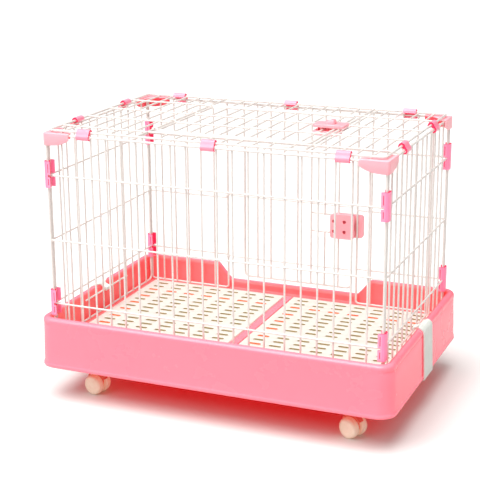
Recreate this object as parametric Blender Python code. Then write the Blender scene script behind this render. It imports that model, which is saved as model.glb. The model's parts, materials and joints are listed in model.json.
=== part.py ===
"""Wire rabbit cage on a wheeled tub.

A pink plastic tub on four twin-disc casters carries a cage of five welded wire panels.
Clips hold the panels together, covers protect the top corners, and a strap at each end
locks the cage to the tub. The front panel (+Y) has a side-hung door, the top panel has
a hatch, and each of the two has a sliding bolt. Two slotted mats lie on the tub's floor.

Metres, +Z up, the origin on the ground under the middle of the cage.
"""
import math

import bmesh
import bpy
from mathutils import Matrix, Vector

# Cage size, between wire centres
CAGE_LENGTH = 0.630
CAGE_WIDTH = 0.403
HALF_X = CAGE_LENGTH / 2
HALF_Y = CAGE_WIDTH / 2
END_HALF = HALF_Y - 0.0065
TOP_INSET = 0.0045
TOP_HALF_X = HALF_X - TOP_INSET
TOP_HALF_Y = HALF_Y - TOP_INSET

# Heights above the ground
FLOOR_TOP = 0.1085
LEDGE = 0.1108
RAIL_LOW = 0.113
MAT_TOP = 0.114
ROW_LOW = 0.1848
ROW_MIDDLE = 0.3056
ROW_HIGH = 0.4266
RAIL_HIGH = 0.5015
TOP_LEVEL = 0.509
STRAP_WIRE_LEVEL = 0.152

# Wire sections; the infill wires are welded on the cabin side of the frames
EDGE_WIRE = 0.0038
RAIL_WIRE = 0.0036
CROSS_WIRE = 0.0026
INFILL_WIRE = 0.0022
INFILL_DEPTH = 0.0021
HINGE_RADIUS = 0.0020
EDGE_OVERRUN = 0.0016
RAIL_OVERRUN = 0.0017
INFILL_OVERRUN = 0.0010

# Spacing of the infill
OUTER_PITCH = 0.0294
INNER_PITCH = 0.0288
OUTER_COUNT = 7
INNER_COUNT = 8
END_PITCH = 0.0293
END_COUNT = 7
STRAP_WIRE_HALF = 0.085

# Doorway, door and hatch
POST_X = HALF_X - (OUTER_COUNT - 1) * OUTER_PITCH
DOOR_RIGHT = 0.1279
DOOR_BOTTOM = 0.1436
DOOR_TOP = 0.419
DOOR_ROWS = (0.181, 0.311)
WINDOW_ROWS = (0.255, 0.292)
HATCH_LEFT = -0.1290
HATCH_RIGHT = 0.1607
HATCH_EDGES = (-0.1386, 0.1103)
HATCH_ROWS = (-0.0554, 0.0271)
HATCH_LOOPS = (-0.126, -0.0504, 0.041, 0.105)
OPENING_RIGHT = 0.170
OPENING_PARTNER = 0.176
OPENING_EDGES = (-0.1512, 0.1229)
TOP_ROWS = (-0.0567, 0.0284)
LOOP_INNER = 0.0026
LOOP_OUTER = 0.0046
LOOP_HALF = 0.0015
LOOP_WELD = 0.0035

# Latches
LATCH_LEVEL = 0.2712
LATCH_SCREWS_X = (0.0939, 0.1153)
LATCH_SCREW_RISE = 0.0104
SCREW_HEAD = 0.0028
SCREW_SHANK = 0.0014
SCREW_GAP = 0.00035
HATCH_SCREW_X = 0.1310
HATCH_SCREW_Y = 0.011

# Tub, outwards from the wire planes
RIM_INNER = 0.0070
RIM_OUTER = 0.0227
RIM_RADIUS = (RIM_OUTER - RIM_INNER) / 2
RIM_MIDDLE = (RIM_OUTER + RIM_INNER) / 2
RIM_SPRING = 0.1532
SKIRT_OUTER = 0.0262
SKIRT_BOTTOM = 0.0722
WALL = 0.0022
SILL_DROP = 0.0328
SILL_HALF = 0.1375
SILL_SHOULDER = 0.167
CORNER_STEPS = 5

# Casters
CASTER_X = 0.243
CASTER_Y = 0.160
CASTER_TRAIL = 0.012
CASTER_TURN = {"front_left": 0, "front_right": 0, "back_left": -10, "back_right": -22}
WHEEL_RADIUS = 0.019
WHEEL_INNER = 0.0045
WHEEL_OUTER = 0.0195
WHEEL_HUB = 0.0028
WHEEL_CHAMFER = 0.0018
AXLE_BORE = 0.0033
FORK_HALF = 0.0035
FORK_HEAD = 0.0095
FORK_HEAD_BOTTOM = 0.0405
FORK_HEAD_TOP = 0.0632
STEM_TOP = 0.092
BOSS_RADIUS = 0.011
BOSS_BOTTOM = 0.066
BORE_RADIUS = 0.0045
BORE_TOP = 0.100
STEM_RADIUS = 0.0041

# Clips and corner covers
CLIP_HALF = 0.0125
LONG_CLIPS = (-0.240, 0.0, 0.240)
END_CLIPS = (-0.0945, 0.0945)
CLIP_BELOW_ROW = 0.022
CLIP_ABOVE_ROW = 0.027
COVER_LEG = 0.052
COVER_TOP = 0.5052
COVER_WALL = 0.0022
COVER_WEB = 0.0013
COVER_GAP = 0.0029
COVER_LIP = (0.0045, 0.0061)
COVER_LIP_BOTTOM = 0.4955
COVER_DEPTH = 0.0229
COVER_END_DEPTH = 0.0118

BODIES = {}
FINISHES = {}

# ---------------------------------------------------------------- scene and objects


def clear_scene():
    for obj in list(bpy.data.objects):
        bpy.data.objects.remove(obj)


def make_finish(name, color, roughness, metallic=0.0):
    finish = bpy.data.materials.new(name)
    finish.use_nodes = True
    shader = finish.node_tree.nodes["Principled BSDF"]
    shader.inputs["Base Color"].default_value = (*color, 1.0)
    shader.inputs["Roughness"].default_value = roughness
    shader.inputs["Metallic"].default_value = metallic
    FINISHES[name] = finish


def make_body(name, pivot, parent=None):
    """An empty on the body's joint axis; the body's parts are its children."""
    empty = bpy.data.objects.new(name + "_pivot", None)
    bpy.context.collection.objects.link(empty)
    place = Vector(pivot)
    empty.location = place
    if parent is not None:
        empty.parent = BODIES[parent][0]
        empty.location = place - BODIES[parent][1]
    BODIES[name] = (empty, place)


def add_object(name, bm, body):
    empty, pivot = BODIES[body]
    bmesh.ops.recalc_face_normals(bm, faces=bm.faces)
    bmesh.ops.translate(bm, verts=bm.verts, vec=-pivot)
    mesh = bpy.data.meshes.new(name)
    bm.to_mesh(mesh)
    bm.free()
    obj = bpy.data.objects.new(name, mesh)
    bpy.context.collection.objects.link(obj)
    obj.parent = empty
    return obj


def add_part(name, bm, body, finish, smooth=False):
    obj = add_object(name, bm, body)
    obj.data.materials.append(FINISHES[finish])
    if smooth:
        obj.data.shade_smooth()
        obj.data.set_sharp_from_angle(angle=math.radians(35))
    return obj


def combine(target, bm, body, operation):
    """Join a helper shape to a part, or cut it out of the part."""
    helper = add_object("shape_" + target.name, bm, body)
    helper.hide_render = True
    helper.display_type = "WIRE"
    modifier = target.modifiers.new(operation.lower(), "BOOLEAN")
    modifier.operation = operation
    modifier.solver = "EXACT"
    modifier.object = helper

# ---------------------------------------------------------------- solid shapes


def add_box(bm, low, high):
    corners = [bm.verts.new((x, y, z))
               for x in (low[0], high[0]) for y in (low[1], high[1]) for z in (low[2], high[2])]
    for face in ((0, 1, 3, 2), (4, 6, 7, 5), (0, 4, 5, 1), (2, 3, 7, 6), (0, 2, 6, 4), (1, 5, 7, 3)):
        bm.faces.new([corners[index] for index in face])


def add_rings(bm, rings, closed=False):
    """Skin a row of point rings; open rows get flat caps, closed ones join up."""
    skins = [[bm.verts.new(point) for point in ring] for ring in rings]
    pairs = list(zip(skins, skins[1:]))
    if closed:
        pairs.append((skins[-1], skins[0]))
    for first, second in pairs:
        for index in range(len(first)):
            after = (index + 1) % len(first)
            bm.faces.new((first[index], first[after], second[after], second[index]))
    if not closed:
        bm.faces.new(skins[0])
        bm.faces.new(skins[-1])


def circle(centre, radius, axis, sides, phase=0.0):
    """Points round a centre, in the plane across one of the axes x, y or z."""
    points = []
    for step in range(sides):
        angle = phase + 2 * math.pi * step / sides
        flat = (radius * math.cos(angle), radius * math.sin(angle))
        offset = {"x": (0, flat[0], flat[1]), "y": (flat[0], 0, flat[1]), "z": (flat[0], flat[1], 0)}[axis]
        points.append(Vector(centre) + Vector(offset))
    return points


def add_turned(bm, centre, axis, stations, sides, phase=0.0):
    """A solid of revolution: stations are (position along the axis, radius)."""
    direction = Vector({"x": (1, 0, 0), "y": (0, 1, 0), "z": (0, 0, 1)}[axis])
    add_rings(bm, [circle(Vector(centre) + direction * along, radius, axis, sides, phase)
                   for along, radius in stations])


def add_prism(bm, outline, place, low, high):
    """Extrude a flat outline; place(a, b, c) turns outline and height into a position."""
    add_rings(bm, [[place(a, b, height) for a, b in outline] for height in (low, high)])


def add_loop(bm, centre, axis):
    """A hinge loop: a short octagonal ring round a hinge wire."""
    direction = Vector({"y": (0, 1, 0), "z": (0, 0, 1)}[axis])
    rings = []
    for radius, along in ((LOOP_INNER, -LOOP_HALF), (LOOP_OUTER, -LOOP_HALF),
                          (LOOP_OUTER, LOOP_HALF), (LOOP_INNER, LOOP_HALF)):
        rings.append(circle(Vector(centre) + direction * along, radius, axis, 10))
    add_rings(bm, rings, closed=True)

# ---------------------------------------------------------------- wire panels
# A panel is drawn in its own plane: u along it, v up it, w into the cabin.


def back_place(u, v, w):
    return (u, w - HALF_Y, v)


def front_place(u, v, w):
    return (u, HALF_Y - w, v)


def left_place(u, v, w):
    return (w - HALF_X, u, v)


def right_place(u, v, w):
    return (HALF_X - w, u, v)


def top_place(u, v, w):
    return (u, v, TOP_LEVEL - w)


def add_wire(bm, place, start, end, size, depth=0.0):
    """A square wire along u or v, from start to end."""
    half = size / 2
    along_u = start[1] == end[1]
    grow = (0.0, half) if along_u else (half, 0.0)
    low = place(min(start[0], end[0]) - grow[0], min(start[1], end[1]) - grow[1], depth - half)
    high = place(max(start[0], end[0]) + grow[0], max(start[1], end[1]) + grow[1], depth + half)
    add_box(bm, [min(pair) for pair in zip(low, high)], [max(pair) for pair in zip(low, high)])


def add_edge(bm, place, u, bottom, top):
    add_wire(bm, place, (u, bottom - EDGE_OVERRUN), (u, top + EDGE_OVERRUN), EDGE_WIRE)


def add_infill(bm, place, u, bottom, top):
    start = (u, bottom - INFILL_OVERRUN)
    add_wire(bm, place, start, (u, top + INFILL_OVERRUN), INFILL_WIRE, INFILL_DEPTH)


def add_rail(bm, place, v, left, right):
    add_wire(bm, place, (left - RAIL_OVERRUN, v), (right + RAIL_OVERRUN, v), RAIL_WIRE)


def add_row(bm, place, v, left, right):
    add_wire(bm, place, (left, v), (right, v), CROSS_WIRE)


def outer_infill():
    """Infill positions beside the doorway, left and right."""
    steps = [HALF_X - index * OUTER_PITCH for index in range(1, OUTER_COUNT - 1)]
    return [-x for x in steps] + steps


def inner_infill():
    first = -(INNER_COUNT - 1) * INNER_PITCH / 2
    return [first + index * INNER_PITCH for index in range(INNER_COUNT)]


def make_back_panel():
    uprights = bmesh.new()
    for side in (-HALF_X, HALF_X):
        add_edge(uprights, back_place, side, RAIL_LOW, RAIL_HIGH)
    for x in outer_infill() + inner_infill() + [-POST_X, POST_X]:
        add_infill(uprights, back_place, x, RAIL_LOW, RAIL_HIGH)
    panel = add_part("back_panel", uprights, "wire_cage", "coated_wire")
    cross = bmesh.new()
    for z in (RAIL_LOW, RAIL_HIGH):
        add_rail(cross, back_place, z, -HALF_X, HALF_X)
    for z in (ROW_LOW, ROW_MIDDLE, ROW_HIGH):
        add_row(cross, back_place, z, -HALF_X, HALF_X)
    combine(panel, cross, "wire_cage", "UNION")


def make_end_panel(name, place):
    uprights = bmesh.new()
    first = END_HALF - (END_COUNT - 1) * END_PITCH
    for side in (-1, 1):
        add_edge(uprights, place, side * END_HALF, RAIL_LOW, RAIL_HIGH)
        for index in range(END_COUNT - 1):
            add_infill(uprights, place, side * (first + index * END_PITCH), RAIL_LOW, RAIL_HIGH)
    panel = add_part(name, uprights, "wire_cage", "coated_wire")
    cross = bmesh.new()
    for z in (RAIL_LOW, RAIL_HIGH):
        add_rail(cross, place, z, -END_HALF, END_HALF)
    for z in (ROW_LOW, ROW_MIDDLE, ROW_HIGH):
        add_row(cross, place, z, -END_HALF, END_HALF)
    add_row(cross, place, STRAP_WIRE_LEVEL, -STRAP_WIRE_HALF, STRAP_WIRE_HALF)
    combine(panel, cross, "wire_cage", "UNION")


def make_front_panel():
    uprights = bmesh.new()
    for side in (-HALF_X, HALF_X, POST_X):
        add_edge(uprights, front_place, side, RAIL_LOW, RAIL_HIGH)
    ends = ((RAIL_LOW - EDGE_OVERRUN, HINGE_RADIUS), (RAIL_HIGH + EDGE_OVERRUN, HINGE_RADIUS))
    add_turned(uprights, (-POST_X, HALF_Y, 0), "z", ends, 8, math.pi / 8)
    for x in outer_infill():
        add_infill(uprights, front_place, x, RAIL_LOW, RAIL_HIGH)
    for x in inner_infill():
        add_infill(uprights, front_place, x, ROW_HIGH, RAIL_HIGH)
    panel = add_part("front_panel", uprights, "wire_cage", "coated_wire")
    cross = bmesh.new()
    add_rail(cross, front_place, RAIL_HIGH, -HALF_X, HALF_X)
    add_row(cross, front_place, ROW_HIGH, -HALF_X, HALF_X)
    for side in (-1, 1):
        outer = side * (HALF_X + RAIL_OVERRUN)
        add_wire(cross, front_place, (outer, RAIL_LOW), (side * POST_X, RAIL_LOW), RAIL_WIRE)
        for z in (ROW_LOW, ROW_MIDDLE):
            add_row(cross, front_place, z, side * POST_X, side * HALF_X)
    combine(panel, cross, "wire_cage", "UNION")


def make_top_panel():
    along_y = bmesh.new()
    for side in (-TOP_HALF_X, TOP_HALF_X, OPENING_RIGHT):
        add_edge(along_y, top_place, side, -TOP_HALF_Y, TOP_HALF_Y)
    reach = TOP_HALF_Y + EDGE_OVERRUN
    add_turned(along_y, (-POST_X, 0, TOP_LEVEL), "y", ((-reach, HINGE_RADIUS), (reach, HINGE_RADIUS)),
               8, math.pi / 8)
    whole = [x for x in outer_infill() if abs(x - OPENING_RIGHT) > EDGE_WIRE]
    for x in whole + [OPENING_PARTNER]:
        add_infill(along_y, top_place, x, -TOP_HALF_Y, TOP_HALF_Y)
    for x in inner_infill() + [POST_X]:
        add_infill(along_y, top_place, x, -TOP_HALF_Y, OPENING_EDGES[0])
        add_infill(along_y, top_place, x, OPENING_EDGES[1], TOP_HALF_Y)
    panel = add_part("top_panel", along_y, "wire_cage", "coated_wire")
    cross = bmesh.new()
    for y in (-TOP_HALF_Y, TOP_HALF_Y):
        add_rail(cross, top_place, y, -TOP_HALF_X, TOP_HALF_X)
    for y in OPENING_EDGES:
        add_row(cross, top_place, y, -TOP_HALF_X, TOP_HALF_X)
    for y in TOP_ROWS:
        add_row(cross, top_place, y, -TOP_HALF_X, -POST_X)
        add_row(cross, top_place, y, OPENING_RIGHT, TOP_HALF_X)
    combine(panel, cross, "wire_cage", "UNION")


def make_front_door():
    left = inner_infill()[0]
    uprights = bmesh.new()
    for side in (left, DOOR_RIGHT):
        add_edge(uprights, front_place, side, DOOR_BOTTOM, DOOR_TOP)
    infill = inner_infill()[1:]
    for x in infill[:-2]:
        add_infill(uprights, front_place, x, DOOR_BOTTOM, DOOR_TOP)
    for x in infill[-2:]:
        add_infill(uprights, front_place, x, DOOR_BOTTOM, WINDOW_ROWS[0])
        add_infill(uprights, front_place, x, WINDOW_ROWS[1], DOOR_TOP)
    for z in DOOR_ROWS:
        add_loop(uprights, (-POST_X, HALF_Y, z), "z")
    door = add_part("front_door", uprights, "front_door", "coated_wire")
    cross = bmesh.new()
    for z in (DOOR_BOTTOM, DOOR_TOP):
        add_rail(cross, front_place, z, left, DOOR_RIGHT)
    for z in DOOR_ROWS:
        add_row(cross, front_place, z, LOOP_WELD - POST_X, DOOR_RIGHT)
    for z in WINDOW_ROWS:
        add_row(cross, front_place, z, infill[-3], DOOR_RIGHT)
    combine(door, cross, "front_door", "UNION")


def make_top_hatch():
    along_y = bmesh.new()
    for side in (HATCH_LEFT, HATCH_RIGHT):
        add_edge(along_y, top_place, side, *HATCH_EDGES)
    for x in inner_infill() + [POST_X]:
        add_infill(along_y, top_place, x, *HATCH_EDGES)
    for y in HATCH_LOOPS:
        add_loop(along_y, (-POST_X, y, TOP_LEVEL), "y")
    hatch = add_part("top_hatch", along_y, "top_hatch", "coated_wire")
    cross = bmesh.new()
    for y in HATCH_EDGES:
        add_rail(cross, top_place, y, HATCH_LEFT, HATCH_RIGHT)
    for y in HATCH_ROWS:
        add_row(cross, top_place, y, HATCH_LEFT, HATCH_RIGHT)
    for y in HATCH_LOOPS:
        add_row(cross, top_place, y, LOOP_WELD - POST_X, HATCH_LEFT)
    combine(hatch, cross, "top_hatch", "UNION")

# ---------------------------------------------------------------- latches


def add_block(bm, place, u, v, w):
    """A box given by its ranges along a panel's u, v and w."""
    low = place(u[0], v[0], w[0])
    high = place(u[1], v[1], w[1])
    add_box(bm, [min(pair) for pair in zip(low, high)], [max(pair) for pair in zip(low, high)])


def add_screw_shape(bm, centre, axis, head_end, head_start, tip, grow=0.0):
    stations = ((head_end, SCREW_HEAD + grow), (head_start, SCREW_HEAD + grow),
                (head_start, SCREW_SHANK + grow), (tip, SCREW_SHANK + grow))
    add_turned(bm, centre, axis, stations, 10)


def around(middle, half):
    return (middle - half, middle + half)


def make_door_latch():
    level = around(LATCH_LEVEL, 0.0248)
    rises = (-LATCH_SCREW_RISE, LATCH_SCREW_RISE)
    screws = [(x, LATCH_LEVEL + rise) for x in LATCH_SCREWS_X for rise in rises]

    inner = bmesh.new()
    add_block(inner, front_place, (0.0857, 0.1350), level, (0.0035, 0.0115))
    plate = add_part("latch_inner_plate", inner, "front_door", "pink_latch")
    channel = bmesh.new()
    add_block(channel, front_place, (0.0900, 0.1400), around(LATCH_LEVEL, 0.0062), (0.0030, 0.0070))
    combine(plate, channel, "front_door", "DIFFERENCE")

    outer = bmesh.new()
    add_block(outer, front_place, (0.0885, 0.1500), around(LATCH_LEVEL, 0.0235), (-0.0105, -0.0022))
    cover = add_part("latch_outer_cover", outer, "front_door", "pink_latch")
    slot = bmesh.new()
    add_block(slot, front_place, (0.1003, 0.1197), around(LATCH_LEVEL, 0.0038), (-0.0120, 0.0))
    combine(cover, slot, "front_door", "DIFFERENCE")

    bores = (bmesh.new(), bmesh.new())
    for number, (x, z) in enumerate(screws, 1):
        screw = bmesh.new()
        add_screw_shape(screw, (x, HALF_Y, z), "y", -0.0110, -0.0088, 0.0085)
        add_part("latch_screw_%d" % number, screw, "front_door", "steel_screw", smooth=True)
        for bore in bores:
            add_screw_shape(bore, (x, HALF_Y, z), "y", -0.0120, -0.0088 + SCREW_GAP, 0.0089, SCREW_GAP)
    combine(plate, bores[0], "front_door", "DIFFERENCE")
    combine(cover, bores[1], "front_door", "DIFFERENCE")

    bolt_shape = bmesh.new()
    add_block(bolt_shape, front_place, (0.0955, 0.1305), around(LATCH_LEVEL, 0.0056), (0.0038, 0.0066))
    add_block(bolt_shape, front_place, (0.0960, 0.1120), around(LATCH_LEVEL, 0.0070), (-0.0165, -0.0110))
    bolt = add_part("door_bolt", bolt_shape, "door_bolt", "pink_latch")
    stem = bmesh.new()
    add_block(stem, front_place, (0.1015, 0.1065), around(LATCH_LEVEL, 0.0030), (-0.0120, 0.0045))
    combine(bolt, stem, "door_bolt", "UNION")


def make_hatch_latch():
    lower = bmesh.new()
    add_block(lower, top_place, (0.1205, 0.1670), around(0.0, 0.0175), (0.0040, 0.0125))
    base = add_part("hatch_latch_base", lower, "top_hatch", "pink_latch")
    channel = bmesh.new()
    add_block(channel, top_place, (0.1395, 0.1700), around(0.0, 0.0068), (0.0035, 0.0087))
    combine(base, channel, "top_hatch", "DIFFERENCE")

    upper = bmesh.new()
    add_block(upper, top_place, (0.1205, 0.1797), around(0.0, 0.0175), (-0.0078, -0.0023))
    cover = add_part("hatch_latch_cover", upper, "top_hatch", "pink_latch")
    slot = bmesh.new()
    add_block(slot, top_place, (0.1402, 0.1583), around(0.0, 0.0040), (-0.0120, 0.0))
    combine(cover, slot, "top_hatch", "DIFFERENCE")

    bores = (bmesh.new(), bmesh.new())
    for number, y in enumerate((-HATCH_SCREW_Y, HATCH_SCREW_Y), 1):
        screw = bmesh.new()
        add_screw_shape(screw, (HATCH_SCREW_X, y, TOP_LEVEL), "z", -0.0098, -0.0076, 0.0080)
        add_part("hatch_screw_%d" % number, screw, "top_hatch", "steel_screw", smooth=True)
        for bore in bores:
            add_screw_shape(bore, (HATCH_SCREW_X, y, TOP_LEVEL), "z", -0.0110, -0.0076 + SCREW_GAP, 0.0084,
                            SCREW_GAP)
    combine(base, bores[0], "top_hatch", "DIFFERENCE")
    combine(cover, bores[1], "top_hatch", "DIFFERENCE")

    bolt_shape = bmesh.new()
    add_block(bolt_shape, top_place, (0.1405, 0.1625), around(0.0, 0.0063), (0.0045, 0.0082))
    add_block(bolt_shape, top_place, (0.1395, 0.1585), around(0.0, 0.0080), (-0.0155, -0.0083))
    bolt = add_part("hatch_bolt", bolt_shape, "hatch_bolt", "pink_latch")
    stem = bmesh.new()
    add_block(stem, top_place, (0.1410, 0.1460), around(0.0, 0.0030), (-0.0090, 0.0050))
    combine(bolt, stem, "hatch_bolt", "UNION")

# ---------------------------------------------------------------- clips and corner covers


def make_top_clips():
    """Clips that grip a top-panel rail and the panel rail under it.

    The outline is (outwards from the panel's plane, height), with three lips.
    """
    outline = [(0.0056, 0.4968), (0.0056, 0.5128), (0.0036, 0.5148), (-0.0080, 0.5148), (-0.0094, 0.5134),
               (-0.0094, 0.5086), (-0.0068, 0.5086), (-0.0068, 0.5114), (0.0024, 0.5114), (0.0024, 0.5064),
               (-0.0028, 0.5064), (-0.0028, 0.5040), (0.0024, 0.5040), (0.0024, 0.4991),
               (-0.0005, 0.4991), (-0.0005, 0.4956), (0.0044, 0.4956)]
    sides = {"front": (lambda out, z, along: (along, HALF_Y + out, z), LONG_CLIPS),
             "back": (lambda out, z, along: (along, -HALF_Y - out, z), LONG_CLIPS),
             "left": (lambda out, z, along: (-HALF_X - out, along, z), END_CLIPS),
             "right": (lambda out, z, along: (HALF_X + out, along, z), END_CLIPS)}
    for side, (place, middles) in sides.items():
        for number, middle in enumerate(middles, 1):
            clip = bmesh.new()
            add_prism(clip, outline, place, middle - CLIP_HALF, middle + CLIP_HALF)
            add_part("top_clip_%s_%d" % (side, number), clip, "wire_cage", "pink_clip")


def corner_names():
    return {"front_left": (-1, 1), "front_right": (1, 1), "back_left": (-1, -1), "back_right": (1, -1)}


def make_corner_clips():
    """Clips round the two upright wires of a corner, notched for the row wire."""
    outline = [(0.0056, 0.0046), (0.0038, 0.0064), (-0.0050, 0.0064), (-0.0050, 0.0024), (0.0024, 0.0024),
               (0.0024, -0.0023), (-0.0030, -0.0023), (-0.0030, -0.0042), (0.0024, -0.0042),
               (0.0024, -0.0089), (-0.0050, -0.0089), (-0.0050, -0.0129), (0.0038, -0.0129),
               (0.0056, -0.0111)]
    for corner, (side_x, side_y) in corner_names().items():
        def place(a, b, z):
            return (side_x * (HALF_X + a), side_y * (HALF_Y + b), z)
        for level, row in (("upper", ROW_HIGH), ("lower", ROW_LOW)):
            clip_shape = bmesh.new()
            add_prism(clip_shape, outline, place, row - CLIP_BELOW_ROW, row + CLIP_ABOVE_ROW)
            clip = add_part("corner_clip_%s_%s" % (corner, level), clip_shape, "wire_cage", "hot_pink_clip")
            notch = bmesh.new()
            square = [(0.0021, -0.0140), (0.0021, -0.0078), (-0.0060, -0.0078), (-0.0060, -0.0140)]
            add_prism(notch, square, place, row - 0.0035, row + 0.0035)
            combine(clip, notch, "wire_cage", "DIFFERENCE")


def cover_bottom(distance):
    """Lower edge of a corner cover's wall, curving up towards the leg's end."""
    share = min(1.0, distance / COVER_LEG)
    return COVER_TOP - COVER_DEPTH + (COVER_DEPTH - COVER_END_DEPTH) * share ** 3.2


def make_corner_covers():
    """Covers with an outer wall, a web between the top rail and the panel rails, and an inner lip."""
    steps = [COVER_LEG * index / 6 for index in range(6, 0, -1)]
    skin = COVER_GAP + COVER_WALL
    edge = COVER_WALL / 4
    web = [(edge, edge), (COVER_LEG - edge, edge), (COVER_LEG - edge, 0.0135), (0.034, 0.0165),
           (0.022, 0.022), (0.0165, 0.034), (0.0135, COVER_LEG - edge), (edge, COVER_LEG - edge)]
    near, far = (skin + depth for depth in COVER_LIP)
    lip = [(near, near), (COVER_LEG - edge, near), (COVER_LEG - edge, far), (far, far),
           (far, COVER_LEG - edge), (near, COVER_LEG - edge)]
    for corner, (side_x, side_y) in corner_names().items():
        def place(a, b, z):
            return (side_x * (HALF_X + skin - a), side_y * (HALF_Y + skin - b), z)

        path = [(step, 0.0) for step in steps] + [(0.0, 0.0)] + [(0.0, step) for step in reversed(steps)]
        rings = []
        for a, b in path:
            inside = (max(a, COVER_WALL), max(b, COVER_WALL))
            bottom = cover_bottom(a + b)
            rings.append([place(a, b, COVER_TOP), place(a, b, bottom), place(*inside, bottom),
                          place(*inside, COVER_TOP)])
        walls = bmesh.new()
        add_rings(walls, rings)
        cover = add_part("corner_cover_" + corner, walls, "wire_cage", "pink_cover")
        for outline, bottom in ((web, COVER_TOP - COVER_WEB), (lip, COVER_LIP_BOTTOM)):
            plate = bmesh.new()
            add_prism(plate, outline, place, bottom, COVER_TOP - 0.0002)
            combine(cover, plate, "wire_cage", "UNION")

# ---------------------------------------------------------------- straps


def strap_stations():
    """Centre line of a strap as (outwards, height, half width), from hook to tip."""
    narrow = 0.015
    wide = 0.028
    hook_radius = 0.0034
    stations = []
    for step in range(7):
        angle = math.radians(250 - 30 * step)
        height = STRAP_WIRE_LEVEL + hook_radius * math.sin(angle)
        stations.append((hook_radius * math.cos(angle), height, narrow))
    stations.append((0.0046, STRAP_WIRE_LEVEL + 0.0048, narrow))
    over_rim = RIM_RADIUS + 0.0015
    for step in range(6):
        angle = math.radians(150 - 30 * step)
        height = RIM_SPRING + over_rim * math.sin(angle)
        stations.append((RIM_MIDDLE + over_rim * math.cos(angle), height, wide))
    stations.append((SKIRT_OUTER + 0.0015, SKIRT_BOTTOM, wide))
    return stations


def make_strap(name, side):
    half = 0.001
    stations = strap_stations()
    rings = []
    for index, (out, z, width) in enumerate(stations):
        before = stations[max(index - 1, 0)]
        after = stations[min(index + 1, len(stations) - 1)]
        along = Vector((after[0] - before[0], after[1] - before[1])).normalized()
        rise = (-along[1] * half, along[0] * half)
        ring = []
        for sign, edge in ((1, -width), (1, width), (-1, width), (-1, -width)):
            ring.append((side * (HALF_X + out + sign * rise[0]), edge, z + sign * rise[1]))
        rings.append(ring)
    strap = bmesh.new()
    add_rings(strap, rings)
    add_part(name, strap, name, "strap")

# ---------------------------------------------------------------- tub and mats


def sill_drop(x):
    """How far the front wall is lowered at x, with sloping shoulders."""
    slope = (SILL_SHOULDER - abs(x)) / (SILL_SHOULDER - SILL_HALF)
    return SILL_DROP * max(0.0, min(1.0, slope))


def tub_ring(out, z, radius, weight):
    """One level of the tub: a rounded rectangle, with extra points across the sill."""
    half_x = HALF_X + out
    half_y = HALF_Y + out
    points = []
    for quarter, (side_x, side_y) in enumerate(((1, 1), (-1, 1), (-1, -1), (1, -1))):
        centre = (side_x * (half_x - radius), side_y * (half_y - radius))
        for step in range(CORNER_STEPS + 1):
            angle = math.pi / 2 * (quarter + step / CORNER_STEPS)
            offset = (radius * math.cos(angle), radius * math.sin(angle))
            points.append((centre[0] + offset[0], centre[1] + offset[1], z))
        if quarter == 0:
            for x in (SILL_SHOULDER, SILL_HALF, -SILL_HALF, -SILL_SHOULDER):
                points.append((x, half_y, z - weight * sill_drop(x)))
    return points


def make_tub():
    rings = [(-0.010, FLOOR_TOP, 0.004, 0), (-0.010, LEDGE, 0.004, 0), (RIM_INNER - 0.0004, LEDGE, 0.012, 0)]
    for step in range(5):
        angle = math.pi - math.pi * step / 4
        out = RIM_MIDDLE + RIM_RADIUS * math.cos(angle)
        radius = 0.012 + 0.004 * step
        rings.append((out, RIM_SPRING + RIM_RADIUS * math.sin(angle), radius, 1))
    rings += [(SKIRT_OUTER, SKIRT_BOTTOM, 0.032, 0), (SKIRT_OUTER - WALL, SKIRT_BOTTOM, 0.030, 0),
              (RIM_OUTER - WALL, RIM_SPRING, 0.026, 1),
              (RIM_MIDDLE, RIM_SPRING + RIM_RADIUS - WALL, 0.020, 1),
              (RIM_INNER + WALL, RIM_SPRING, 0.014, 1), (RIM_INNER + WALL - 0.0004, LEDGE - WALL, 0.014, 0),
              (WALL - 0.010, LEDGE - WALL, 0.006, 0), (WALL - 0.010, FLOOR_TOP - WALL, 0.006, 0)]
    shell = bmesh.new()
    add_rings(shell, [tub_ring(*ring) for ring in rings])
    tub = add_part("tub", shell, "tub", "pink_tub", smooth=True)
    additions = bmesh.new()
    add_box(additions, (-0.0075, -0.190, FLOOR_TOP - 0.001), (0.0075, 0.190, MAT_TOP - 0.0005))
    for x, y in caster_places().values():
        boss = ((BOSS_BOTTOM, BOSS_RADIUS), (FLOOR_TOP - 0.0013, BOSS_RADIUS))
        add_turned(additions, (x, y, 0), "z", boss, 16)
    combine(tub, additions, "tub", "UNION")
    bores = bmesh.new()
    for x, y in caster_places().values():
        add_turned(bores, (x, y, 0), "z", ((BOSS_BOTTOM - 0.001, BORE_RADIUS), (BORE_TOP, BORE_RADIUS)), 12)
    combine(tub, bores, "tub", "DIFFERENCE")


def make_mat(name, side):
    mat = bmesh.new()
    near = side * 0.0097
    far = side * 0.3030
    add_box(mat, (min(near, far), -0.1895, FLOOR_TOP + 0.0003), (max(near, far), 0.1895, MAT_TOP))
    add_part(name, mat, name, "ivory_mat")

# ---------------------------------------------------------------- casters


def caster_places():
    sides = corner_names().items()
    return {corner: (side_x * CASTER_X, side_y * CASTER_Y) for corner, (side_x, side_y) in sides}


def caster_axle(corner):
    """Middle of a caster's wheel, from the way the caster points at rest."""
    x, y = caster_places()[corner]
    reach = math.copysign(CASTER_TRAIL, x)
    angle = math.radians(CASTER_TURN[corner])
    return (x + reach * math.cos(angle), y + reach * math.sin(angle), WHEEL_RADIUS)


def turned(bm, corner):
    """Swing a caster's shape round its stem, from straight to its rest direction."""
    x, y = caster_places()[corner]
    turn = Matrix.Rotation(math.radians(CASTER_TURN[corner]), 3, "Z")
    bmesh.ops.rotate(bm, cent=(x, y, 0), matrix=turn, verts=bm.verts)
    return bm


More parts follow.
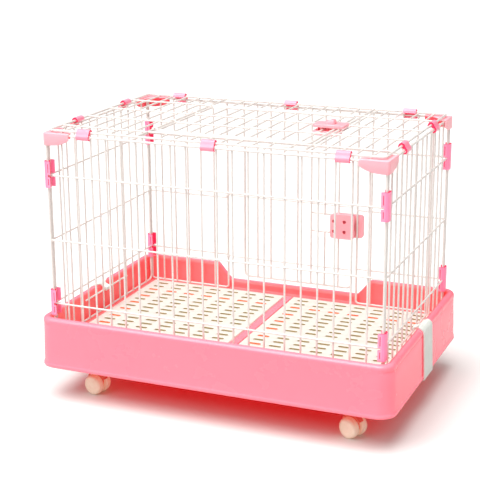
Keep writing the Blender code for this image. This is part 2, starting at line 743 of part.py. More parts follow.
def make_fork(corner):
    x, y = caster_places()[corner]
    side = math.copysign(1, x)
    body = "caster_" + corner

    def place(a, z, across):
        return (x + side * a, y + across, z)

    web = [(0.002, 0.011), (CASTER_TRAIL, 0.0065), (0.022, 0.011), (0.0245, 0.021), (0.0215, 0.032),
           (0.0085, 0.0425), (-0.0088, 0.0425), (-0.0088, 0.036), (-0.001, 0.025)]
    plate = bmesh.new()
    add_prism(plate, web, place, -FORK_HALF, FORK_HALF)
    fork = add_part("caster_fork_" + corner, turned(plate, corner), body, "caster_fork", smooth=True)
    head = bmesh.new()
    stations = ((FORK_HEAD_BOTTOM, FORK_HEAD), (FORK_HEAD_TOP, FORK_HEAD),
                (FORK_HEAD_TOP, STEM_RADIUS), (STEM_TOP, STEM_RADIUS))
    add_turned(head, (x, y, 0), "z", stations, 12)
    combine(fork, head, body, "UNION")
    bore = bmesh.new()
    axle = place(CASTER_TRAIL, WHEEL_RADIUS, 0)
    add_turned(bore, axle, "y", ((-0.01, AXLE_BORE), (0.01, AXLE_BORE)), 12)
    combine(fork, turned(bore, corner), body, "DIFFERENCE")


def make_wheel(corner):
    x, y = caster_places()[corner]
    disc = ((WHEEL_INNER, WHEEL_RADIUS - WHEEL_CHAMFER), (WHEEL_INNER + WHEEL_CHAMFER, WHEEL_RADIUS),
            (WHEEL_OUTER - WHEEL_CHAMFER, WHEEL_RADIUS), (WHEEL_OUTER, WHEEL_RADIUS - WHEEL_CHAMFER))
    stations = [(-along, radius) for along, radius in reversed(disc)]
    stations += [(-WHEEL_INNER, WHEEL_HUB), (WHEEL_INNER, WHEEL_HUB)]
    stations += disc
    wheel = bmesh.new()
    axle = (x + math.copysign(CASTER_TRAIL, x), y, WHEEL_RADIUS)
    add_turned(wheel, axle, "y", stations, 20)
    add_part("caster_wheel_" + corner, turned(wheel, corner), "wheel_" + corner, "ivory_wheel", smooth=True)

# ---------------------------------------------------------------- assembly


def make_finishes():
    make_finish("coated_wire", (0.90, 0.87, 0.80), 0.35)
    make_finish("pink_tub", (0.95, 0.27, 0.36), 0.30)
    make_finish("pink_clip", (0.96, 0.56, 0.70), 0.35)
    make_finish("hot_pink_clip", (0.95, 0.30, 0.52), 0.35)
    make_finish("pink_cover", (0.96, 0.46, 0.56), 0.35)
    make_finish("pink_latch", (0.96, 0.45, 0.52), 0.35)
    make_finish("ivory_mat", (0.92, 0.89, 0.80), 0.45)
    make_finish("strap", (0.80, 0.84, 0.80), 0.40)
    make_finish("ivory_wheel", (0.88, 0.83, 0.70), 0.40)
    make_finish("caster_fork", (0.90, 0.66, 0.62), 0.45)
    make_finish("steel_screw", (0.45, 0.10, 0.13), 0.35, 0.6)


def make_bodies():
    make_body("tub", (0, 0, 0))
    make_body("mat_left", (-HALF_X / 2, 0, FLOOR_TOP), "tub")
    make_body("mat_right", (HALF_X / 2, 0, FLOOR_TOP), "tub")
    make_body("wire_cage", (0, 0, LEDGE), "tub")
    make_body("front_door", (-POST_X, HALF_Y, LATCH_LEVEL), "wire_cage")
    make_body("door_bolt", (LATCH_SCREWS_X[1], HALF_Y, LATCH_LEVEL), "front_door")
    make_body("top_hatch", (-POST_X, 0, TOP_LEVEL), "wire_cage")
    make_body("hatch_bolt", (POST_X, 0, TOP_LEVEL), "top_hatch")
    make_body("strap_left", (-HALF_X, 0, STRAP_WIRE_LEVEL), "wire_cage")
    make_body("strap_right", (HALF_X, 0, STRAP_WIRE_LEVEL), "wire_cage")
    for corner, (x, y) in caster_places().items():
        make_body("caster_" + corner, (x, y, BOSS_BOTTOM), "tub")
        make_body("wheel_" + corner, caster_axle(corner), "caster_" + corner)


def main():
    clear_scene()
    make_finishes()
    make_bodies()
    make_tub()
    make_mat("mat_left", -1)
    make_mat("mat_right", 1)
    make_back_panel()
    make_end_panel("left_panel", left_place)
    make_end_panel("right_panel", right_place)
    make_front_panel()
    make_top_panel()
    make_front_door()
    make_top_hatch()
    make_door_latch()
    make_hatch_latch()
    make_top_clips()
    make_corner_clips()
    make_corner_covers()
    make_strap("strap_left", -1)
    make_strap("strap_right", 1)
    for corner in corner_names():
        make_fork(corner)
        make_wheel(corner)


main()
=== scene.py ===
"""Looks for the wire rabbit cage: round coated wires, moulded pink plastics, ivory mats.

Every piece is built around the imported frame: levels and planes are read from the CAD
boxes and joints, and each piece rides on the CAD body it belongs to.
"""
import json
from math import atan2, copysign, cos, degrees, pi, radians, sin, tan

import bmesh
import bpy
from mathutils import Matrix, Vector


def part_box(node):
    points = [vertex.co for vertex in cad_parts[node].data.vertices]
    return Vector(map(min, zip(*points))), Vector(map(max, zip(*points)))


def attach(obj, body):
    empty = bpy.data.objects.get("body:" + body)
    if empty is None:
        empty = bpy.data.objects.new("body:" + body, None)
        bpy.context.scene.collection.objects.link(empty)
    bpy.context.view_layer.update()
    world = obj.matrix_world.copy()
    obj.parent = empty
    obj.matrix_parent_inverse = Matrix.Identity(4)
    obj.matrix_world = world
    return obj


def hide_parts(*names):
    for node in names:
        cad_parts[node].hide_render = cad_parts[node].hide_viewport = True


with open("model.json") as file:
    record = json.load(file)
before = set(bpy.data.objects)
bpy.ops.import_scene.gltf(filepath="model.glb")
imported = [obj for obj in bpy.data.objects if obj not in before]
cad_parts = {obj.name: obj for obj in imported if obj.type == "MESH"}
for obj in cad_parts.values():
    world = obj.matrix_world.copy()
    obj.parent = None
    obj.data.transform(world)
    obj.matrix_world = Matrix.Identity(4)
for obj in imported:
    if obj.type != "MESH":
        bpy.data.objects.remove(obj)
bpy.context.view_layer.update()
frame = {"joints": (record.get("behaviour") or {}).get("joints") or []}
JOINTS = {joint["name"]: joint for joint in frame["joints"]}

# Wire radii in the CAD, which set the panels' planes
EDGE_R = 0.0019
RAIL_R = 0.0018

# Wire radii as drawn
LOOP_WIRE_R = 0.0013
HINGE_R = 0.002
FRAME_R = 0.0021
ROW_R = 0.0017
INFILL_R = 0.0017

# How far the infill lies behind the rows, and the radius of a hinge loop's centre line
INFILL_DEPTH = 0.0021
LOOP_R = 0.00345

# Bend radii of the frames' corners
PANEL_BEND = 0.011
DOOR_BEND = 0.009
POST_BEND = 0.006

# Low and high corners of CAD boxes
BACK_LOW, BACK_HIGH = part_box("back_panel")
TOP_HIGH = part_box("top_panel")[1]
DOOR_LOW, DOOR_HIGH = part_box("front_door")
BOLT_LOW, BOLT_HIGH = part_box("door_bolt")
TUB_LOW, TUB_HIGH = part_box("tub")

# Planes and levels, from the CAD boxes
HALF_X = BACK_HIGH.x - EDGE_R
HALF_Y = -BACK_LOW.y - EDGE_R
END_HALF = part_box("left_panel")[1].y - EDGE_R
RAIL_LOW = BACK_LOW.z + RAIL_R
RAIL_HIGH = BACK_HIGH.z - RAIL_R
TOP_LEVEL = TOP_HIGH.z - EDGE_R
TOP_HALF_X = TOP_HIGH.x - EDGE_R
TOP_HALF_Y = TOP_HIGH.y - RAIL_R
FLOOR, MAT_TOP = (corner.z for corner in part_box("mat_left"))
POST_X = -JOINTS["door_swing"]["pos_m"][0]
STRAP_LEVEL = JOINTS["strap_right_swing"]["pos_m"][2]
DOOR_RIGHT = DOOR_HIGH.x - EDGE_R
DOOR_BOTTOM = DOOR_LOW.z + RAIL_R
DOOR_TOP = DOOR_HIGH.z - RAIL_R
HATCH_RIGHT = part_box("top_hatch")[1].x - EDGE_R
LATCH_LEVEL = (BOLT_LOW.z + BOLT_HIGH.z) / 2

# Places of the wires within the panels
ROW_LEVELS = (0.1848, 0.3056, 0.4266)
DOOR_ROWS = (0.181, 0.311)
WINDOW_ROWS = (0.255, 0.292)
HATCH_LEFT = -0.129
HATCH_EDGES = (-0.1386, 0.1103)
HATCH_ROWS = (-0.0554, 0.0271)
HATCH_LOOPS = (-0.126, -0.0504, 0.041, 0.105)
OPENING_RIGHT = 0.17
OPENING_PARTNER = 0.176
OPENING_EDGES = (-0.1512, 0.1229)
TOP_ROWS = (-0.0567, 0.0284)
OUTER_PITCH = (HALF_X - POST_X) / 6
INNER_PITCH = 0.0288
END_PITCH = 0.0293
STRAP_WIRE_HALF = 0.085

CORNERS = {"front_left": (-1, 1), "front_right": (1, 1), "back_left": (-1, -1), "back_right": (1, -1)}

# ---------------- materials

# Depths of a surface's grain
FINE = 0.00002
COARSE = 0.00003


def fill(made, values):
    """Set a node's inputs; three numbers make an opaque colour."""
    for key, value in values.items():
        made.inputs[key].default_value = (*value, 1) if isinstance(value, (tuple, list)) else value


def node(tree, kind, values=None, **settings):
    made = tree.nodes.new(kind)
    for key, value in settings.items():
        setattr(made, key, value)
    fill(made, values or {})
    return made


def noise(tree, coords, scale, detail=4.0):
    texture = node(tree, "ShaderNodeTexNoise", {"Scale": scale, "Detail": detail, "Roughness": 0.55})
    tree.links.new(coords.outputs["Object"], texture.inputs["Vector"])
    return texture.outputs["Fac"]


def mapped(tree, source, low, high, start=0.3, end=0.7):
    """Stretch a 0..1 signal between start and end to low..high."""
    made = node(tree, "ShaderNodeMapRange",
                {"From Min": start, "From Max": end, "To Min": low, "To Max": high})
    tree.links.new(source, made.inputs["Value"])
    return made.outputs["Result"]


def mix_shaders(tree, first, second, output):
    """Send a mix of two shaders to an output; returns the input for the second one's share."""
    mix = node(tree, "ShaderNodeMixShader")
    tree.links.new(first, mix.inputs[1])
    tree.links.new(second, mix.inputs[2])
    tree.links.new(mix.outputs["Shader"], output.inputs["Surface"])
    return mix.inputs["Fac"]


def make_surface(name, light, deep, roughness, grain, grain_depth, patch, coat=0.0, through=None, inner=None,
                 metallic=0.0, edge=0.35):
    """Moulded or coated surface: drifting colour, uneven gloss, fine grain, and a painted highlight on sharp
    edges.

    through is a (share, colour) pair for thin plastic that lets light through; inner is a
    (strength, colour) pair for a painted glow, an emission that fills the surface's shade with warm
    colour though the surface is no lamp; edge is the strength of the painted highlight on sharp edges.
    """
    made = bpy.data.materials.new(name)
    made.use_nodes = True
    tree = made.node_tree
    link = tree.links.new
    shader = tree.nodes["Principled BSDF"]
    fill(shader, {"Metallic": metallic, "Coat Weight": coat, "Coat Roughness": 0.12})
    coords = node(tree, "ShaderNodeTexCoord")
    blend = node(tree, "ShaderNodeMix", {"A": light, "B": deep}, data_type="RGBA")
    link(mapped(tree, noise(tree, coords, patch), 0.0, 1.0), blend.inputs["Factor"])

    # Painted highlight: sharp edges, where pointiness is high, are mixed towards a paler colour, by up to
    # edge.
    geometry = node(tree, "ShaderNodeNewGeometry")
    pale = [channel + (1 - channel) * 0.45 for channel in light]
    edge_highlight = node(tree, "ShaderNodeMix", {"B": pale}, data_type="RGBA")
    link(mapped(tree, geometry.outputs["Pointiness"], 0.0, edge, 0.52, 0.62), edge_highlight.inputs["Factor"])
    link(blend.outputs["Result"], edge_highlight.inputs["A"])
    link(edge_highlight.outputs["Result"], shader.inputs["Base Color"])

    gloss = mapped(tree, noise(tree, coords, patch * 4, 6.0), roughness * 0.9, roughness * 1.15)
    link(gloss, shader.inputs["Roughness"])
    bump = node(tree, "ShaderNodeBump", {"Strength": 0.6, "Distance": grain_depth})
    link(noise(tree, coords, grain, 3.0), bump.inputs["Height"])
    link(bump.outputs["Normal"], shader.inputs["Normal"])
    # Painted glow: emission that lights the surface from within and lifts its shade.
    if inner:
        fill(shader, {"Emission Strength": inner[0], "Emission Color": inner[1]})
    if through:
        backlit = node(tree, "ShaderNodeBsdfTranslucent", {"Color": through[1]})
        output = tree.nodes["Material Output"]
        share = mix_shaders(tree, shader.outputs["BSDF"], backlit.outputs["BSDF"], output)
        share.default_value = through[0]
    return made


def make_surfaces():
    """Rows of name, light and deep colour, roughness, grain size and depth, patch size, and extras."""
    # Every inner pair below is a painted glow: emission that fills the surface's shade with warm colour,
    # though no surface is a lamp; red and rose are colours of that glow.
    red = (1.0, 0.03, 0.05)
    rose = (1.0, 0.02, 0.12)
    rows = (
        ("pink_tub", (0.98, 0.272, 0.36), (0.975, 0.266, 0.353), 0.26, 700, FINE, 4,
         {"coat": 0.35, "through": (0.12, (1.0, 0.1, 0.14)), "inner": (0.34, red)}),
        # tub_inside is a deeper red copy of the tub's pink with a stronger glow: painted shade for the tub's
        # inner walls and floor edge.
        ("tub_inside", (0.98, 0.26, 0.28), (0.98, 0.235, 0.255), 0.3, 700, FINE, 6,
         {"coat": 0.2, "through": (0.25, (1.0, 0.08, 0.06)), "inner": (0.38, (1.0, 0.03, 0.02))}),
        # tub_underside is a dark red: painted shade under the tub and on the caster sockets.
        ("tub_underside", (0.6, 0.03, 0.04), (0.54, 0.02, 0.03), 0.45, 700, FINE, 6, {"edge": 0.0}),
        ("ivory_mat", (0.765, 0.75, 0.685), (0.745, 0.73, 0.66), 0.42, 1500, FINE, 7, {}),
        # mat_slot is a dark beige: painted shade on the walls and floors of the mats' blind slots.
        ("mat_slot", (0.42, 0.33, 0.15), (0.36, 0.27, 0.11), 0.5, 1500, FINE, 40, {"edge": 0.0}),
        # mat_slot_warm is orange-red with a glow: a painted glow of light bounced from the pink tub, on the
        # walls of the mats' through slots.
        ("mat_slot_warm", (0.98, 0.12, 0.03), (0.98, 0.22, 0.05), 0.45, 1500, FINE, 9,
         {"inner": (0.25, (1.0, 0.1, 0.02)), "edge": 0.0}),
        ("coated_wire", (0.81, 0.765, 0.73), (0.77, 0.72, 0.685), 0.28, 1100, COARSE, 30,
         {"coat": 0.3, "inner": (0.03, (1.0, 0.92, 0.88)), "edge": 0.0}),
        ("pink_latch", (0.98, 0.47, 0.53), (0.96, 0.44, 0.5), 0.32, 900, FINE, 25,
         {"coat": 0.15, "inner": (0.12, red)}),
        # latch_inside is a deep red: painted shade in the latch's screw recesses and bolt slot.
        ("latch_inside", (0.75, 0.02, 0.05), (0.65, 0.01, 0.04), 0.4, 900, FINE, 25,
         {"inner": (0.1, red), "edge": 0.0}),
        ("pink_clip", (0.95, 0.32, 0.44), (0.94, 0.29, 0.41), 0.3, 900, FINE, 40,
         {"coat": 0.2, "inner": (0.16, rose)}),
        ("hot_pink_clip", (0.97, 0.26, 0.47), (0.96, 0.24, 0.445), 0.3, 900, FINE, 40,
         {"coat": 0.2, "inner": (0.18, rose)}),
        # clip_inside is a deep red: painted shade on the clips' inner faces, end faces and notches.
        ("clip_inside", (0.95, 0.03, 0.12), (0.88, 0.02, 0.09), 0.45, 900, FINE, 40,
         {"inner": (0.25, rose), "edge": 0.0}),
        ("pink_cover", (0.98, 0.47, 0.54), (0.97, 0.44, 0.51), 0.32, 900, FINE, 25,
         {"coat": 0.15, "inner": (0.15, red)}),
        # cover_inside is a deep red: painted shade on the covers' inner wall faces and lips.
        ("cover_inside", (0.98, 0.1, 0.15), (0.96, 0.08, 0.12), 0.35, 900, FINE, 25,
         {"inner": (0.15, red), "edge": 0.0}),
        ("strap", (0.85, 0.88, 0.83), (0.81, 0.84, 0.79), 0.35, 1200, FINE, 14, {}),
        ("ivory_wheel", (0.92, 0.82, 0.68), (0.88, 0.77, 0.62), 0.38, 900, COARSE, 40,
         {"inner": (0.22, (1.0, 0.55, 0.35))}),
        ("caster_fork", (0.88, 0.26, 0.15), (0.82, 0.2, 0.11), 0.42, 900, COARSE, 40,
         {"inner": (0.1, red)}),
        # steel_screw has a deep red base: a painted reflection of the pink plastic round the steel screws.
        ("steel_screw", (0.58, 0.015, 0.05), (0.48, 0.01, 0.04), 0.35, 1500, FINE, 80,
         {"inner": (0.12, red), "metallic": 0.3}),
    )
    return {name: make_surface(name, *values, **extras) for name, *values, extras in rows}


SURFACES = make_surfaces()

# ---------------- piece helpers


def add_object(name, data):
    made = bpy.data.objects.new(name, data)
    bpy.context.scene.collection.objects.link(made)
    return made


def add_mesh(name, bm):
    """Use up a bmesh for a new object."""
    bmesh.ops.recalc_face_normals(bm, faces=bm.faces)
    mesh = bpy.data.meshes.new(name)
    bm.to_mesh(mesh)
    bm.free()
    return add_object(name, mesh)


def add_piece(name, bm, body, surface, stands_for=(), sharp=40, bevel=0.0, more=()):
    """Turn a mesh into a piece that rides on a body and stands for its CAD nodes."""
    piece = add_mesh(name, bm)
    for each in (surface, *more):
        piece.data.materials.append(SURFACES[each])
    piece.data.shade_smooth()
    piece.data.set_sharp_from_angle(angle=radians(sharp))
    if bevel:
        round_piece(piece, bevel)
    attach(piece, body)
    if stands_for:
        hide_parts(*stands_for)
    return piece


def round_piece(piece, width, segments=2):
    """Round a piece's sharp edges."""
    rounding = piece.modifiers.new("rounding", "BEVEL")
    rounding.width = width
    rounding.segments = segments
    rounding.limit_method = "ANGLE"
    rounding.angle_limit = radians(40)
    rounding.harden_normals = True
    piece.data.shade_smooth()
    piece.data.set_sharp_from_angle(angle=radians(45))


def cut(target, bm, surface=None):
    """Cut a shape out of a piece for good, so that no helper stays; the cut can have its own surface."""
    cutter = add_mesh("cutter", bm)
    modifier = target.modifiers.new("cut", "BOOLEAN")
    modifier.operation = "DIFFERENCE"
    modifier.solver = "EXACT"
    modifier.object = cutter
    if surface:
        cutter.data.materials.append(SURFACES[surface])
        modifier.material_mode = "TRANSFER"
    bpy.context.view_layer.update()
    done = bpy.data.meshes.new_from_object(target.evaluated_get(bpy.context.evaluated_depsgraph_get()))
    target.modifiers.clear()
    target.data = done
    bpy.data.objects.remove(cutter)


def circle(centre, across, other, radius, sides):
    """Points of a circle in the plane of two unit vectors."""
    return [centre + (across * cos(turn) + other * sin(turn)) * radius
            for turn in (2 * pi * step / sides for step in range(sides))]


def add_rings(bm, rings, closed=False, caps=True, tints=()):
    """Skin a row of point rings; open rows get caps, closed ones join up.

    tints gives the material index of each band of faces.
    """
    tints = tints or [0] * len(rings)
    skins = [[bm.verts.new(point) for point in ring] for ring in rings]
    pairs = list(zip(skins, skins[1:]))
    if closed:
        pairs.append((skins[-1], skins[0]))
    for band, (first, second) in enumerate(pairs):
        count = len(first)
        for index in range(count):
            after = (index + 1) % count
            face = bm.faces.new((first[index], first[after], second[after], second[index]))
            face.material_index = tints[band]
    if caps and not closed:
        bm.faces.new(skins[0]).material_index = tints[0]
        bm.faces.new(skins[-1]).material_index = tints[-1]
    return skins


def arc(centre, radius, start, end, steps):
    """Points (a, b) along an arc, angles in degrees."""
    points = []
    for step in range(steps + 1):
        angle = radians(start + (end - start) * step / steps)
        points.append((centre[0] + radius * cos(angle), centre[1] + radius * sin(angle)))
    return points


def rounded(points, radius, steps=6, closed=False):
    """Replace the corners of a path by arcs."""
    count = len(points)
    path = []
    for index, corner in enumerate(points):
        here = Vector(corner)
        if not closed and index in (0, count - 1):
            path.append(here)
            continue
        before = Vector(points[index - 1]) - here
        after = Vector(points[(index + 1) % count]) - here
        half = before.angle(after) / 2
        reach = min(radius / tan(half), before.length * 0.49, after.length * 0.49)
        before.normalize()
        after.normalize()
        middle = here + (before + after).normalized() * reach / cos(half)
        first = here + before * reach - middle
        last = here + after * reach - middle
        for step in range(steps + 1):
            path.append(middle + first.normalized().slerp(last.normalized(), step / steps) * first.length)
    return path


def add_tube(bm, path, radius, sides=12, closed=False, cap=0.35):
    """A round wire along a path, with softly domed ends."""
    path = [Vector(point) for point in path]
    padded = [path[-1], *path, path[0]] if closed else [path[0], *path, path[-1]]
    tangents = [(after - before).normalized() for before, after in zip(padded, padded[2:])]
    normal = tangents[0].orthogonal().normalized()
    rings = []
    for index, (point, tangent) in enumerate(zip(path, tangents)):
        if index:
            normal = tangents[index - 1].rotation_difference(tangent) @ normal
        normal = (normal - tangent * normal.dot(tangent)).normalized()
        rings.append(circle(point, normal, tangent.cross(normal), radius, sides))
    if not closed:
        tips = []
        for end, way in ((0, -1), (-1, 1)):
            tip = path[end] + tangents[end] * way * radius * cap
            tips.append([tip + (point - path[end]) * 0.6 for point in rings[end]])
        rings = [tips[0], *rings, tips[1]]
    add_rings(bm, rings, closed)


def add_turned(bm, centre, axis, stations, sides=32, closed=False):
    """A solid of revolution: stations are (position along the axis, radius)."""
    direction = Vector(axis)
    across = direction.orthogonal().normalized()
    other = direction.cross(across)
    rings = [circle(Vector(centre) + direction * along, across, other, radius, sides)
             for along, radius in stations]
    add_rings(bm, rings, closed)


def slab(outline, place, low, high, bm=None):
    """Extrude a flat outline; place(a, b, height) gives the position."""
    bm = bm or bmesh.new()
    add_rings(bm, [[place(a, b, height) for a, b in outline] for height in (low, high)])
    return bm


def bar(place, u, v, w):
    """A box between two values of each of a placing function's inputs."""
    return slab([(u[0], v[0]), (u[1], v[0]), (u[1], v[1]), (u[0], v[1])], place, w[0], w[1])


def rounded_box_outline(a0, a1, b0, b1, radius, steps=6):
    outline = []
    for turn, a, b in ((0, a1 - radius, b1 - radius), (90, a0 + radius, b1 - radius),
                       (180, a0 + radius, b0 + radius), (270, a1 - radius, b0 + radius)):
        outline += arc((a, b), radius, turn, turn + 90, steps)
    return outline

# ---------------- wire panels
# A panel is drawn in its own plane: u along it, v up it, w into the cabin.


def back_place(u, v, w):
    return Vector((u, w - HALF_Y, v))


def front_place(u, v, w):
    return Vector((u, HALF_Y - w, v))


def left_place(u, v, w):
    return Vector((w - HALF_X, u, v))


def right_place(u, v, w):
    return Vector((HALF_X - w, u, v))


def top_place(u, v, w):
    return Vector((u, v, TOP_LEVEL - w))


class Panel:
    """Collects the wires of one panel; each crossing gets a small weld bead."""

    def __init__(self, place):
        self.place = place
        self.bm = bmesh.new()
        self.uprights = []
        self.cross = []

    def wire(self, points, radius, bend=0.0, closed=False, sides=12):
        path = [self.place(*point) for point in points]
        if bend:
            path = rounded(path, bend, 6, closed)
        add_tube(self.bm, path, radius, sides, closed)

    def frame(self, u0, u1, v0, v1, radius, bend):
        self.wire([(u0, v0, 0), (u1, v0, 0), (u1, v1, 0), (u0, v1, 0)], radius, bend, True, 16)
        self.uprights += [(u0, v0, v1, 0, radius), (u1, v0, v1, 0, radius)]
        self.cross += [(v0, u0, u1, radius), (v1, u0, u1, radius)]

    def infill(self, places, v0, v1, radius=INFILL_R, depth=INFILL_DEPTH, over=0.0012):
        """Upright wires behind the rows, which reach a little past the wires they end on."""
        for u in places:
            self.wire([(u, v0 - over, depth), (u, v1 + over, depth)], radius)
            self.uprights.append((u, v0, v1, depth, radius))

    def rows(self, levels, u0, u1):
        for v in levels:
            self.wire([(u0, v, 0), (u1, v, 0)], ROW_R)
            self.cross.append((v, u0, u1, ROW_R))

    def finish(self, name, node_name, body="wire_cage"):
        """Weld each crossing and make the panel's piece."""
        margin = 0.0004
        for u, v0, v1, depth, radius in self.uprights:
            for v, u0, u1, thick in self.cross:
                if v0 - margin <= v <= v1 + margin and u0 - margin <= u <= u1 + margin:
                    reach = thick - (thick + radius - depth) / 2 if depth else 0.0
                    size = min(radius, thick) * 1.12
                    if depth or thick != radius:
                        bmesh.ops.create_icosphere(self.bm, subdivisions=1, radius=size,
                                                   matrix=Matrix.Translation(self.place(u, v, reach)))
        add_piece(name, self.bm, body, "coated_wire", [node_name], 35)


def outer_infill():
    steps = [HALF_X - index * OUTER_PITCH for index in range(1, 6)]
    return [-x for x in steps] + steps


def inner_infill():
    return [(index - 3.5) * INNER_PITCH for index in range(8)]


def make_back_panel():
    panel = Panel(back_place)
    panel.frame(-HALF_X, HALF_X, RAIL_LOW, RAIL_HIGH, FRAME_R, PANEL_BEND)
    panel.infill(outer_infill() + inner_infill() + [-POST_X, POST_X], RAIL_LOW, RAIL_HIGH)
    panel.rows(ROW_LEVELS, -HALF_X, HALF_X)
    panel.finish("back_wires", "back_panel")


def make_end_panel(end, place):
    panel = Panel(place)
    panel.frame(-END_HALF, END_HALF, RAIL_LOW, RAIL_HIGH, FRAME_R, PANEL_BEND)
    places = [END_HALF - index * END_PITCH for index in range(1, 7)]
    panel.infill(places + [-u for u in places], RAIL_LOW, RAIL_HIGH)
    panel.rows(ROW_LEVELS, -END_HALF, END_HALF)
    panel.rows([STRAP_LEVEL], -STRAP_WIRE_HALF, STRAP_WIRE_HALF)
    panel.finish(end + "_wires", end + "_panel")


def make_front_panel():
    panel = Panel(front_place)
    for side in (-1, 1):
        post, end = side * POST_X, side * HALF_X
        panel.wire([(post, RAIL_HIGH, 0), (post, RAIL_LOW, 0), (end, RAIL_LOW, 0), (end, RAIL_HIGH, 0),
                    (side * 0.001, RAIL_HIGH, 0)], FRAME_R, POST_BEND, False, 16)
        panel.uprights += [(x, RAIL_LOW, RAIL_HIGH, 0, FRAME_R) for x in (post, end)]
        low, high = sorted((post, end))
        panel.cross += [(RAIL_LOW, low, high, FRAME_R), (RAIL_HIGH, min(0, end), max(0, end), FRAME_R)]
        panel.rows(ROW_LEVELS[:2], low, high)
    panel.rows(ROW_LEVELS[2:], -HALF_X, HALF_X)
    panel.infill(outer_infill(), RAIL_LOW, RAIL_HIGH)
    panel.infill(inner_infill(), ROW_LEVELS[2], RAIL_HIGH)
    panel.finish("front_wires", "front_panel")


def make_top_panel():
    panel = Panel(top_place)
    panel.frame(-TOP_HALF_X, TOP_HALF_X, -TOP_HALF_Y, TOP_HALF_Y, FRAME_R, DOOR_BEND)
    for x, radius in ((-POST_X, HINGE_R), (OPENING_RIGHT, FRAME_R)):
        panel.infill([x], -TOP_HALF_Y, TOP_HALF_Y, radius, 0.0, 0.0)
    whole = [x for x in outer_infill() if abs(x - OPENING_RIGHT) > 2 * EDGE_R]
    panel.infill(whole + [OPENING_PARTNER], -TOP_HALF_Y, TOP_HALF_Y)
    broken = inner_infill() + [POST_X]
    panel.infill(broken, -TOP_HALF_Y, OPENING_EDGES[0])
    panel.infill(broken, OPENING_EDGES[1], TOP_HALF_Y)
    panel.rows(OPENING_EDGES, -TOP_HALF_X, TOP_HALF_X)
    panel.rows(TOP_ROWS, -TOP_HALF_X, -POST_X)
    panel.rows(TOP_ROWS, OPENING_RIGHT, TOP_HALF_X)
    panel.finish("top_wires", "top_panel")


def loop_path(start_u, far):
    """(u, w) points of a wire that comes in flat and curls round a hinge wire at u = 0."""
    path = [(far, 0.0), (start_u, 0.0), (0.0035, -LOOP_R * 0.9)]
    path += arc((0, 0), LOOP_R, -90, -395, 14)[1:]
    return path


def make_front_door():
    panel = Panel(front_place)
    left, *infill = inner_infill()
    panel.frame(left, DOOR_RIGHT, DOOR_BOTTOM, DOOR_TOP, FRAME_R, DOOR_BEND)
    panel.infill(infill[:-2], DOOR_BOTTOM, DOOR_TOP)
    panel.infill(infill[-2:], DOOR_BOTTOM, WINDOW_ROWS[0])
    panel.infill(infill[-2:], WINDOW_ROWS[1], DOOR_TOP)
    for z in DOOR_ROWS:
        panel.wire([(u - POST_X, z, w) for u, w in loop_path(0.01, DOOR_RIGHT + POST_X)], LOOP_WIRE_R)
        panel.cross.append((z, left, DOOR_RIGHT, LOOP_WIRE_R))
    panel.rows(WINDOW_ROWS, infill[-3] - 0.001, DOOR_RIGHT)
    panel.finish("door_wires", "front_door", "front_door")


def make_top_hatch():
    panel = Panel(top_place)
    panel.frame(HATCH_LEFT, HATCH_RIGHT, *HATCH_EDGES, FRAME_R, DOOR_BEND)
    panel.infill(inner_infill() + [POST_X], *HATCH_EDGES)
    panel.rows(HATCH_ROWS, HATCH_LEFT, HATCH_RIGHT)
    reach = 0.04
    for y in HATCH_LOOPS:
        panel.wire([(u - POST_X, y, w) for u, w in loop_path(0.0096, reach)], LOOP_WIRE_R)
        panel.cross.append((y, HATCH_LEFT, reach - POST_X, LOOP_WIRE_R))
    panel.finish("hatch_wires", "top_hatch", "top_hatch")

# ---------------- clips


def hook_section(first, second, grip, wall, first_lip, second_lip, prong):
    """Double-hook section round two wires, as (a, b) points; the hooks open towards -a.

    first and second are the wire centres, grip is the hooks' inner radius, and the lips are
    (start angle, end point) pairs that say how far each hook reaches round its wire.
    """
    outer = grip + wall
    across = Vector(second) - Vector(first)
    toward = degrees(atan2(across.y, across.x))
    spread = 74
    first_start, first_tip = first_lip
    second_end, second_tip = second_lip
    outline = [(first_tip[0], first_tip[1] - 0.0005), (first_tip[0] - 0.0004, first_tip[1] + 0.0007)]
    outline += arc(first, outer, first_start, toward + spread, 14)
    outline += arc(second, outer, toward + 180 - spread, second_end, 14)
    outline += [(second_tip[0] - 0.0004, second_tip[1] - 0.0007), (second_tip[0], second_tip[1] + 0.0005)]
    outline += arc(second, grip, second_end, 125, 12)
    outline += [(prong[0], prong[1] - 0.0005), (prong[0], prong[1] + 0.0005)]
    outline += arc(first, grip, -125, first_start, 12)
    return outline


HOOK_OUTER_FACES = 34
CLIP_EDGE = 0.0004


def hook(outline, place, low, high):
    """A hook section drawn out to a length, with its inner and end faces in the second material, a painted
    shade.
    """
    bm = slab(outline, place, low, high)
    for face in list(bm.faces)[HOOK_OUTER_FACES:]:
        face.material_index = 1
    return bm


